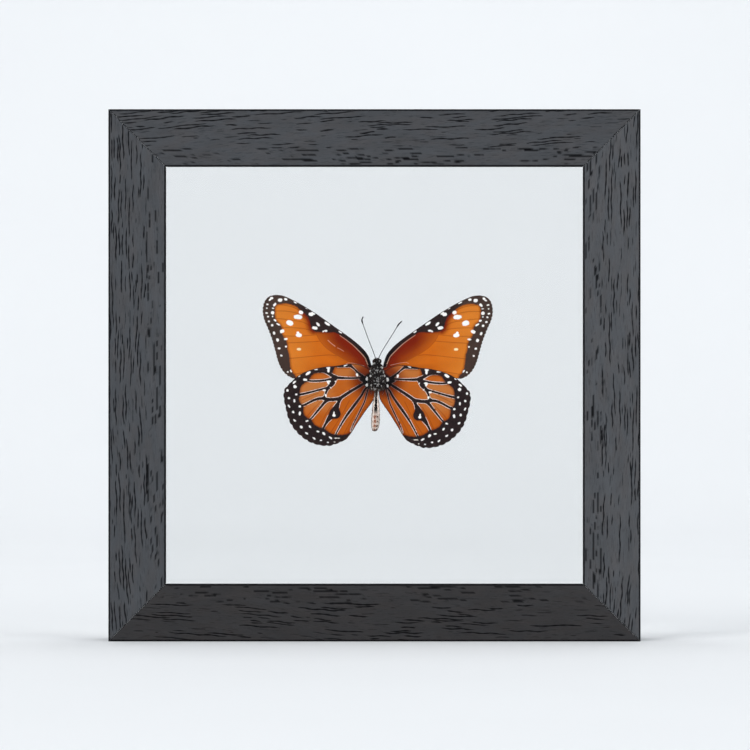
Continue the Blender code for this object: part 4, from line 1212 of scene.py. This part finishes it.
def build_thorax(butterfly, rng):
    """The thorax with its coat of hair and its tufts of white scales."""
    stations = smooth_line(THORAX_STATIONS, 0.16)
    points, faces = loft(stations, 56)
    ripple = 0.09 * np.sin(points[:, 2] * 3.1 + 1.5) * np.cos(points[:, 0] * 2.7)
    ripple += rng.normal(0, 0.012, len(points))
    groove = 0.22 * np.exp(-((points[:, 0] / 0.22) ** 2)) * (points[:, 1] < 0)
    ways = points * (1, 1, 0)
    ways /= np.maximum(np.linalg.norm(ways, axis=1), 1e-6)[:, None]
    points = points + ways * (ripple - groove)[:, None]
    obj = mesh_object("thorax", placed(points), faces)
    face_out(obj)
    finish_piece(obj, "black_scales", ["thorax"],
                 pile_finish("thorax_shell", butterfly.pile, butterfly.chalk))
    bare = []
    while len(bare) < THORAX_HAIRS:
        z = rng.uniform(-3.8, 7.1)
        angle = rng.uniform(0, 2 * math.pi)
        way = Vector((math.cos(angle), math.sin(angle), 0)) + Vector(rng.normal(0, 0.35, 3))
        way.z -= 0.45 if z < 5 else -0.3
        length = rng.uniform(0.3, 0.75) * (0.7 if z > 5 else 1)
        bare.append((around(front_sections(z), z, angle, 0.96), way, length))
    coat = []
    for root, way, length in bare:
        cloud = abs(math.sin(3.1 * root[0] + 1) * math.cos(2.3 * root[2]))
        coat.append((root, way, length, (rng.random() < 0.34) * rng.uniform(0.05, 0.6) * cloud))
    # The fringe of longer hair at the foot
    for _ in range(FRINGE_HAIRS):
        x = rng.uniform(-2.4, 2.4)
        root = x, rng.uniform(-1.6, -0.4), rng.uniform(-3.6, -2.6) + 0.12 * x**2
        way = x * 0.25 + rng.normal(0, 0.5), rng.normal(-0.3, 0.3), rng.normal(-1.0, 0.3)
        coat.append((root, way, rng.uniform(0.5, 1.1), rng.uniform(0.0, 0.5) ** 1.5))
    coat_piece("thorax_hair", "black_scales", coat, 0.026, 0.12, rng,
               pile_finish("body_hair", butterfly.pile, (0.80, 0.60, 0.46), "pale"))
    coat = []
    small = [(rng.uniform(-2.0, 2.0), rng.uniform(-3.4, 4.2), rng.uniform(0.07, 0.15))
             for _ in range(SMALL_TUFTS)]
    for x, z, size in THORAX_TUFTS + tuple(small):
        for _ in range(round(130 * size)):
            px, pz = x + rng.normal(0, size * 0.26), z + size * 0.4 + rng.normal(0, size * 0.38)
            front, out = thorax_surface(px, pz)
            way = out * 0.45 + Vector((rng.normal(0, 0.25), 0, rng.normal(-0.9, 0.2)))
            pale = min(1.0, max(0.5, size * 2.4 + 0.1))
            coat.append(((px, front - 0.25, pz), way, rng.uniform(0.35, 0.6), pale))
    coat_piece("thorax_tufts", "black_scales", coat, 0.05, 0.12, rng,
               pile_finish("white_scales", butterfly.pile, butterfly.chalk, "pale"))


def build_head(butterfly):
    """The head and its two eyes."""
    points, faces = loft(smooth_line(HEAD_STATIONS, 0.12), 40)
    obj = mesh_object("head", placed(points), faces)
    face_out(obj)
    finish_piece(obj, "black_scales", ["head"], pile_finish("head_shell", butterfly.pile, butterfly.chalk))
    glossy = pile_finish("eye_surface", (0.02, 0.014, 0.012), butterfly.chalk, roughness=0.18)
    for side, word in ((-1, "left"), (1, "right")):
        x, y, z = EYE_CENTRE
        select_only()
        bpy.ops.mesh.primitive_uv_sphere_add(segments=40, ring_count=24, radius=EYE_RADIUS * MM,
                                             location=placed([(side * x, y, z)])[0])
        eye = bpy.context.object
        eye.name = eye.data.name = f"eye_{word}"
        eye.scale = (0.85, 1.0, 1.12)
        bpy.ops.object.transform_apply(location=True, rotation=True, scale=True)
        eye.data.shade_smooth()
        finish_piece(eye, "black_scales", [], glossy)


def build_abdomen(butterfly, rng):
    """The ringed abdomen, which narrows at each joint, and its down."""
    stations, ring, root = [], [], []
    top = ABDOMEN_TOP
    before = (-0.2, 0.5, 0.5)
    for low, across, half_x, half_y in ABDOMEN_SEGMENTS:
        shares = np.linspace(0, 1, 9)
        for share in shares if low == ABDOMEN_SEGMENTS[-1][0] else shares[:-1]:
            swell = 1 + 0.05 * math.sin(math.pi * min(1.0, share * 1.1))
            swell -= 0.07 * (math.exp(-((1 - share) / 0.12) ** 2) + math.exp(-(share / 0.12) ** 2))
            here = [a + (b - a) * min(1.0, share * 1.3) for a, b in zip(before, (across, half_x, half_y))]
            stations.append((top + (low - top) * share, here[0], 0.1, here[1] * swell, here[2] * swell))
            ring.append(min(share, 1 - share) * 2)
            root.append(min(1.0, max(0.0, 1.5 - (ABDOMEN_TOP - stations[-1][0]) / 1.5)))
        top, before = low, (across, half_x, half_y)
    tip_z, tip_x, tip_radius = ABDOMEN_TIP
    for share in (0.35, 0.7, 0.9, 1.0):
        size = math.sqrt(max(0.0, 1 - share**2)) * 0.95
        stations.append((top + (tip_z - top) * share, before[0] + (tip_x - before[0]) * share, 0.1,
                         max(tip_radius * 0.4, before[1] * size), max(tip_radius * 0.4, before[2] * size)))
        ring.append(0.5)
        root.append(0.0)
    sides = 48
    points, faces = loft(stations, sides)
    angles = np.tile(np.linspace(0, 2 * math.pi, sides, endpoint=False), len(stations))
    # A faint furrow down the middle of the front
    points[:, 1] += 0.06 * np.exp(-((np.cos(angles) / 0.18) ** 2)) * (np.sin(angles) < 0)
    obj = mesh_object("abdomen", placed(points), faces)
    store(obj, "side", np.cos(angles))
    store(obj, "ring", np.repeat(ring, sides))
    store(obj, "root", np.repeat(root, sides))
    store(obj, "tail", 1 - ramp(points[:, 2], -12.3, -10.1))
    store(obj, "tip", 1 - ramp(points[:, 2], -17.1, -16.5))
    face_out(obj)
    finish_piece(obj, "abdomen_scales", ["abdomen"], abdomen_finish(butterfly))
    rows = np.array(stations)[::-1]
    coat = []
    for _ in range(ABDOMEN_HAIRS):
        z = rng.uniform(-17.0, -4.2)
        angle = rng.uniform(0, 2 * math.pi)
        way = Vector((math.cos(angle) * 0.5, math.sin(angle) * 0.5, -1.0)) + Vector(rng.normal(0, 0.15, 3))
        coat.append((around(rows, z, angle, 0.98), way, rng.uniform(0.25, 0.5), 0))
    coat_piece("abdomen_hair", "abdomen_scales", coat, 0.018, 0.08, rng,
               pile_finish("abdomen_down", (0.8, 0.60, 0.50), butterfly.chalk))


def build_antennae(butterfly):
    """Two ringed antennae that thicken into clubs."""
    finish = pile_finish("antenna_shell", (0.012, 0.011, 0.012), butterfly.chalk, roughness=0.45)
    for name, knots in ANTENNAE.items():
        path = smooth_line(knots, 0.12)
        left = np.linspace(1, 0, len(path)) * 15.0
        club = np.sin(np.pi * np.clip(1 - left / 3.2, 0, 0.72))
        radii = 0.115 + 0.12 * club**2
        radii *= 1 + 0.07 * (np.arange(len(path)) % 3 == 0)
        radii[0] = 0.2
        radii[-1] *= 0.5
        points, faces = tube(path, radii, 10)
        obj = mesh_object(name, placed(points), faces)
        face_out(obj)
        finish_piece(obj, "black_scales", [name], finish)


def bristly_piece(name, points, faces, bristles, finish):
    """A limb with its bristles, in one piece."""
    more, more_faces, shares = bristles
    obj = mesh_object(name, placed(points + more), faces + more_faces)
    store(obj, "pale", [0.0] * len(points) + shares)
    finish_piece(obj, "black_scales", [name], finish)


def build_legs(butterfly, rng):
    """Three pairs of folded, bristly legs."""
    finish = pile_finish("leg_shell", scaled(butterfly.pile, 1.3), butterfly.chalk,
                         pale_attribute="pale", roughness=0.4)
    for kind, knots in LEGS.items():
        for side, word in ((1, "left"), (-1, "right")):
            knots_here = np.array(knots) * (side, 1, 1, 1)
            points, faces = [], []
            for start, end in zip(knots_here, knots_here[1:]):
                share = np.linspace(0, 1, 14)[:, None]
                path = start[:3] + (end[:3] - start[:3]) * share
                path[:, 1] -= 0.08 * np.sin(np.pi * share[:, 0])
                radii = start[3] + (end[3] - start[3]) * share[:, 0]
                radii = radii * (0.82 + 0.24 * np.sin(np.pi * share[:, 0] ** 0.7))
                radii[0] *= 0.6
                radii[-1] *= 0.6
                more, more_faces = tube(path, radii, 10, len(points))
                points += more
                faces += more_faces
            lean = Vector((0, -0.6, -0.6))
            coat = [(place, Vector(rng.normal(0, 1, 3)) + lean, rng.uniform(0.22, 0.38), 0.25)
                    for place in smooth_line(knots_here[:, :3], 0.14) for _ in range(2)]
            bristly_piece(f"{kind}_{word}", points, faces, hairs(coat, 0.016, 0.05, rng, len(points)), finish)


def build_mouthparts(butterfly, rng):
    """The coiled proboscis between two palps."""
    finish = pile_finish("mouth_shell", (0.03, 0.02, 0.016), butterfly.chalk, roughness=0.4)
    share = np.linspace(0, 1, 90)
    angle = 2 * math.pi * 2.25 * share
    radius = 0.22 + 0.7 * share
    coil = np.stack([0 * share, -2.3 + radius * np.cos(angle) * 0.8, 6.05 + radius * np.sin(angle)], axis=1)
    points, faces = tube(coil, 0.12 - 0.04 * share[::-1], 10)
    obj = mesh_object("proboscis", placed(points), faces)
    face_out(obj)
    finish_piece(obj, "black_scales", ["proboscis"], finish)
    bristle = pile_finish("palp_shell", butterfly.pile, butterfly.chalk, pale_attribute="pale")
    for side, word in ((-1, "left"), (1, "right")):
        path = smooth_line(np.array(PALP) * (side, 1, 1), 0.1)
        radii = 0.24 * np.sin(np.pi * np.linspace(0.15, 0.93, len(path)))
        points, faces = tube(path, radii, 12)
        picked = rng.integers(2, len(path) - 1, PALP_BRISTLES)
        ways = [Vector(rng.normal(0, 1, 3)) + Vector((0, -0.4, 0.9)) for _ in picked]
        coat = zip(path[picked], ways, rng.uniform(0.25, 0.45, len(picked)), [0] * len(picked))
        more, more_faces, _ = hairs(coat, 0.02, 0.1, rng, len(points))
        shares = list(np.repeat(rng.random(len(picked)) < 0.45, 7) * 0.8)
        bristly_piece(f"palp_{word}", points, faces, (more, more_faces, shares), bristle)


# ---------------------------------------------------------------- operators


class SPECIMEN_OT_moulding(bpy.types.Operator):
    """Build the four mitred lengths of the frame"""

    bl_idname = "specimen.moulding"
    bl_label = "Moulding"

    def execute(self, context):
        finish, _, _ = settings()
        tree = stained_wood_group()
        # Stain with the side's painted light or shade, slope of the grain, seed and how crowded the pores are
        looks = {
            "Bottom": (finish.stain_and_painted_light_bottom, -0.045, 11, 1.1), "Left": (finish.stain_and_painted_light_left, 0.02, 23, 2.0),
            "Top": (finish.stain_and_painted_light_top, 0.06, 38, 1.6), "Right": (finish.stain_and_painted_light_right, -0.015, 53, 1.9),
        }
        for step, (name, word) in enumerate(SIDES):
            stain, slant, seed, crowding = looks[word]
            obj = self.length(name, finish)
            self.carve(obj, slant, seed, crowding, finish.pore_depth)
            obj.data.transform(quarter_turn(step))
            # Lit and shaded copies of one wood finish, one for each length
            wood = stained_wood(f"black_wood_{word.lower()}", tree, stain, finish.pore, float(seed))
            finish_piece(obj, "black_wood", [name], wood)
        return {"FINISHED"}

    def length(self, name, finish):
        """The bottom length: a lip before the glass, a back, mitred ends and soft edges, finely divided."""
        obj = start_block(name + "_moulding", (-HALF_SIDE, Y_FRONT, 0), (HALF_SIDE, Y_LIP, FACE_WIDTH))
        bpy.ops.object.mode_set(mode="EDIT")
        slice_through((0, 0, BACK_WIDTH), (0, 0, 1), keep_both=True)
        pick(obj, "FACE", lambda face: face.normal.y > 0.9 and face.calc_center_median().z < BACK_WIDTH)
        bpy.ops.mesh.extrude_region_move(TRANSFORM_OT_translate={"value": (0, Y_BACK - Y_LIP, 0)})
        for side in (-1, 1):
            slice_through((side * (HALF_SIDE - MITRE_GAP), 0, 0), (-side, 0, -1))
        tiny = 1e-6
        arris = finish.arris

        def on_mitre(edge):
            return all(HALF_SIDE - v.co.z - abs(v.co.x) < 3 * MITRE_GAP for v in edge.verts)

        for z, radius, segments in ((0, arris, 5), (FACE_WIDTH, finish.inner_arris, 3)):
            pick(obj, "EDGE", lambda edge: all(abs(v.co.y - Y_FRONT) < tiny and abs(v.co.z - z) < tiny
                                               for v in edge.verts))
            bpy.ops.mesh.bevel(offset=radius, segments=segments, affect="EDGES")
        pick(obj, "EDGE", lambda edge: on_mitre(edge)
             and all(v.co.y < Y_FRONT + arris * 1.01 for v in edge.verts))
        bpy.ops.mesh.bevel(offset=0.08 * MM, segments=2, affect="EDGES")
        pick(obj, "EDGE", lambda edge: all(abs(v.co.y - Y_BACK) < tiny for v in edge.verts)
             and not on_mitre(edge))
        bpy.ops.mesh.bevel(offset=0.35 * MM, segments=3, affect="EDGES")
        # Even divisions along the length, then across the front and the outer side
        for cuts, least in ((14, 100 * MM), (14, 9 * MM)):
            pick(obj, "EDGE", lambda edge: abs(edge.verts[0].co.x - edge.verts[1].co.x) > least
                 and abs(edge.verts[0].co.z - edge.verts[1].co.z) < tiny)
            bpy.ops.mesh.subdivide(number_cuts=cuts)
        for axis, cuts, least in ((2, 11, 5 * MM), (2, 10, 1 * MM), (1, 9, 5 * MM),
                                  (1, 7, 1.5 * MM)):
            def crosses(edge):
                a, b = (v.co for v in edge.verts)
                on_face = max(a.y, b.y) < Y_FRONT + arris if axis == 2 else max(a.z, b.z) < tiny
                return on_face and abs(a[axis] - b[axis]) > least
            pick(obj, "EDGE", crosses)
            bpy.ops.mesh.subdivide(number_cuts=cuts)
        bpy.ops.object.mode_set(mode="OBJECT")
        smooth_by_angle(obj, 60)
        return obj

    def carve(self, obj, slant, seed, crowding, pore_depth):
        """Sinks the open grain into the front and the outer side, and stores what the stain reads."""
        mesh = obj.data
        rows = np.empty(3 * len(mesh.vertices))
        mesh.vertices.foreach_get("co", rows)
        rows = rows.reshape(-1, 3)
        along, inset, depth = rows[:, 0] / MM, rows[:, 2] / MM, (rows[:, 1] - Y_FRONT) / MM
        across = inset - depth
        wide, deep = FACE_WIDTH / MM, (Y_BACK - Y_FRONT) / MM
        pores = open_grain(along, across, HALF_SIDE / MM, -deep, wide, slant, seed, crowding)
        to_end = HALF_SIDE / MM - inset - np.abs(along)
        pores *= ramp(to_end, 0.05, 0.4) * ramp(wide - inset, 0.1, 0.5) * ramp(deep - depth, 0.3, 1.0)
        front = depth < 1e-3
        side = inset < 1e-3
        pores *= (front | side) + 0.6 * ~(front | side)
        rows[front, 1] += pores[front] * pore_depth
        rows[side, 2] += pores[side] * pore_depth
        mesh.vertices.foreach_set("co", rows.ravel())
        grain = mesh.attributes.new("grain", "FLOAT_VECTOR", "POINT")
        grain.data.foreach_set("vector", np.stack([along, inset, depth], axis=1).astype(np.float32).ravel())
        store(obj, "pore", pores)
        store(obj, "level", grain_level(along, inset, slant, seed))
        mesh.update()


class SPECIMEN_OT_glazing(bpy.types.Operator):
    """Give the panes, the spacers, the fillets and the glue their finishes"""

    bl_idname = "specimen.glazing"
    bl_label = "Glazing"

    def execute(self, context):
        glass = clear_finish("clear_glass", (0.995, 1.0, 0.998), 1.5, 0.0)
        for name in ("glass_front", "glass_rear"):
            dress_node(name, glass)
        dress_node("glue_drop", clear_finish("clear_glue", (0.96, 0.95, 0.9), 1.46, 0.05))
        for kind, paint in (("spacer", (0.012, 0.012, 0.012)), ("fillet", (0.016, 0.016, 0.017))):
            lying = painted_finish(f"{kind}_lying", paint, (0.08, 1.6, 1.6))
            standing = painted_finish(f"{kind}_standing", paint, (1.6, 1.6, 0.08))
            for side in ("bottom", "left", "top", "right"):
                dress_node(f"{kind}_{side}", lying if side in ("bottom", "top") else standing)
        return {"FINISHED"}


class SPECIMEN_OT_hardware(bpy.types.Operator):
    """Build the mitre wedges and finish the sawtooth hanger"""

    bl_idname = "specimen.hardware"
    bl_label = "Hardware"

    def execute(self, context):
        zinc = zinc_finish()
        for name in ("hanger_plate", "hanger_nail_left", "hanger_nail_right"):
            dress_node(name, zinc)
        for step in range(4):
            obj = self.wedge(f"mitre_wedge_{step + 1}_steel")
            obj.data.transform(quarter_turn(step))
            finish_piece(obj, "zinc_steel", [f"mitre_wedge_{step + 1}"], zinc)
        return {"FINISHED"}

    def wedge(self, name):
        """An angle driven across the bottom left mitre, standing a little proud of the wood."""
        leg, thick, inset, proud = 4.0 * MM, 0.5 * MM, 4.4 * MM, 0.12 * MM
        corner = Vector((-HALF_SIDE + inset, 0, inset))
        low = corner + Vector((-thick / 2, Y_BACK - 6 * MM, -thick / 2))
        obj = start_block(name, low, corner + Vector((thick / 2, Y_BACK + proud, thick / 2)))
        bpy.ops.object.mode_set(mode="EDIT")
        for axis, way in ((0, (leg, 0, 0)), (2, (0, 0, leg))):
            pick(obj, "FACE", lambda face: face.normal[axis] > 0.9 and face.calc_center_median()[2 - axis]
                 < corner[2 - axis] + thick / 2)
            bpy.ops.mesh.extrude_region_move(TRANSFORM_OT_translate={"value": way})
        pick(obj, "EDGE", lambda edge: all(abs(v.co.y - Y_BACK - proud) < 1e-6 for v in edge.verts)
             and edge.calc_face_angle(0) > 1)
        bpy.ops.mesh.bevel(offset=0.1 * MM, segments=2, affect="EDGES")
        bpy.ops.object.mode_set(mode="OBJECT")
        smooth_by_angle(obj, 35)
        return obj


class SPECIMEN_OT_wings(bpy.types.Operator):
    """Build the four wings and their patterns"""

    bl_idname = "specimen.wings"
    bl_label = "Wings"

    def execute(self, context):
        _, butterfly, _ = settings()
        tree = wing_group()
        pitch = 0.17
        for kind in PLANS:
            points, triangles, outline = wing_sheet(kind, pitch)
            fields = wing_fields(kind, points, outline)
            flat = points, triangles, fields, wing_relief(kind, points, fields)
            field = [getattr(butterfly, f"{kind}_{tone}") for tone in ("ground", "light", "deep")]
            chestnut = [scaled(butterfly.upper_ground, share) for share in (1, 1.25, 0.5)]
            under = wing_finish(f"{kind}_underside", tree, *field, butterfly)
            upper = wing_finish(f"{kind}_upper_side", tree, *chestnut, butterfly, edging=0.0,
                                vein_growth=-0.12, spot_growth=-0.06)
            for side, word in ((-1, "left"), (1, "right")):
                build_wing(f"{kind}_{word}", kind, side, flat, (under, upper))
        return {"FINISHED"}


class SPECIMEN_OT_body(bpy.types.Operator):
    """Build the thorax, the head, the abdomen and their hair"""

    bl_idname = "specimen.body"
    bl_label = "Body"

    def execute(self, context):
        _, butterfly, _ = settings()
        rng = np.random.default_rng(BODY_SEED)
        build_thorax(butterfly, rng)
        build_head(butterfly)
        build_abdomen(butterfly, rng)
        return {"FINISHED"}


class SPECIMEN_OT_limbs(bpy.types.Operator):
    """Build the legs, the antennae and the mouthparts"""

    bl_idname = "specimen.limbs"
    bl_label = "Limbs"

    def execute(self, context):
        _, butterfly, _ = settings()
        rng = np.random.default_rng(LIMB_SEED)
        build_antennae(butterfly)
        build_legs(butterfly, rng)
        build_mouthparts(butterfly, rng)
        return {"FINISHED"}


class SPECIMEN_OT_stage(bpy.types.Operator):
    """Set the sweep, the lights and the camera"""

    bl_idname = "specimen.stage"
    bl_label = "Stage"

    def execute(self, context):
        _, _, stage = settings()
        self.sweep(stage)
        self.light("key", stage.key_power, 1.1, (-1.0, -1.5, 1.5), (0, 0, 0.09))
        self.light("fill", stage.fill_power, 1.2, (1.3, -1.3, 0.9), (0, 0, 0.09))
        self.light("sweep_light", stage.back_power, 1.2, (0.0, 0.7, 1.8), (0, 1.3, 0.2))
        world = bpy.data.worlds.new("studio")
        world.use_nodes = True
        background = world.node_tree.nodes["Background"]
        background.inputs["Color"].default_value = (0.9, 0.95, 1.0, 1)
        # Hardly any of it is mirrored, as with a black card behind the camera
        net = Net(world.node_tree)
        depth = net.split(net.run("TexCoord", {}, "Generated"))[1]
        carded = mirrored(net) * net.math("LESS_THAN", depth, 0.0)
        net.feed(background.inputs["Strength"], stage.world * (1.0 - carded * 0.85))
        context.scene.world = world
        context.scene.view_settings.view_transform = "Standard"
        camera = bpy.data.cameras.new("camera")
        camera.sensor_width = 36
        camera.lens = camera.sensor_width / 2 * stage.camera_distance / stage.half_view
        camera.clip_start, camera.clip_end = 0.01, 50
        eye = bpy.data.objects.new("camera", camera)
        context.scene.collection.objects.link(eye)
        eye.location = (stage.aim_x, Y_FRONT - stage.camera_distance, stage.aim_z)
        eye.rotation_euler = (math.radians(90), 0, 0)
        context.scene.camera = eye
        return {"FINISHED"}

    def sweep(self, stage):
        """A floor that curves up into a backdrop."""
        wide, front, back, radius, height = 2.6, -1.7, 1.0, 0.7, 2.4
        profile = [(front, 0.0), (back, 0.0)]
        for i in range(1, 17):
            angle = math.radians(90 * i / 16)
            profile.append((back + radius * math.sin(angle), radius * (1 - math.cos(angle))))
        profile.append((back + radius, height))
        points = [(side * wide, y, z) for y, z in profile for side in (-1, 1)]
        faces = [(2 * i, 2 * i + 1, 2 * i + 3, 2 * i + 2) for i in range(len(profile) - 1)]
        obj = mesh_object("studio_sweep", points, faces)
        obj.data.materials.append(sweep_finish(stage.floor))

    def light(self, name, power, size, place, aim):
        """A square lamp, in watts and metres."""
        data = bpy.data.lights.new(name, "AREA")
        data.energy = power
        data.size = size
        lamp = bpy.data.objects.new(name, data)
        bpy.context.scene.collection.objects.link(lamp)
        lamp.location = place
        lamp.rotation_euler = (Vector(aim) - Vector(place)).to_track_quat("-Z", "Y").to_euler()


class SPECIMEN_PT_panel(bpy.types.Panel):
    """Lists the pieces of the framed butterfly"""

    bl_idname = "SPECIMEN_PT_panel"
    bl_label = "Framed Butterfly"
    bl_space_type = "VIEW_3D"
    bl_region_type = "UI"
    bl_category = "Specimen"

    def draw(self, context):
        for operator in OPERATORS:
            self.layout.operator(operator.bl_idname)
        for group in settings():
            box = self.layout.box()
            for name in group.bl_rna.properties.keys():
                if name not in ("rna_type", "name"):
                    box.prop(group, name)


OPERATORS = (
    SPECIMEN_OT_stage,
    SPECIMEN_OT_moulding,
    SPECIMEN_OT_glazing,
    SPECIMEN_OT_hardware,
    SPECIMEN_OT_wings,
    SPECIMEN_OT_body,
    SPECIMEN_OT_limbs,
)
CLASSES = (FrameFinish, ButterflyFinish, StageSettings, *OPERATORS, SPECIMEN_PT_panel)


def register():
    for item in CLASSES:
        bpy.utils.register_class(item)
    bpy.types.Scene.specimen_frame = PointerProperty(type=FrameFinish)
    bpy.types.Scene.specimen_butterfly = PointerProperty(type=ButterflyFinish)
    bpy.types.Scene.specimen_stage = PointerProperty(type=StageSettings)


def unregister():
    for name in ("specimen_frame", "specimen_butterfly", "specimen_stage"):
        delattr(bpy.types.Scene, name)
    for item in reversed(CLASSES):
        bpy.utils.unregister_class(item)


def main():
    register()
    for operator in OPERATORS:
        kind, name = operator.bl_idname.split(".")
        getattr(getattr(bpy.ops, kind), name)()


if __name__ == "__main__":
    main()
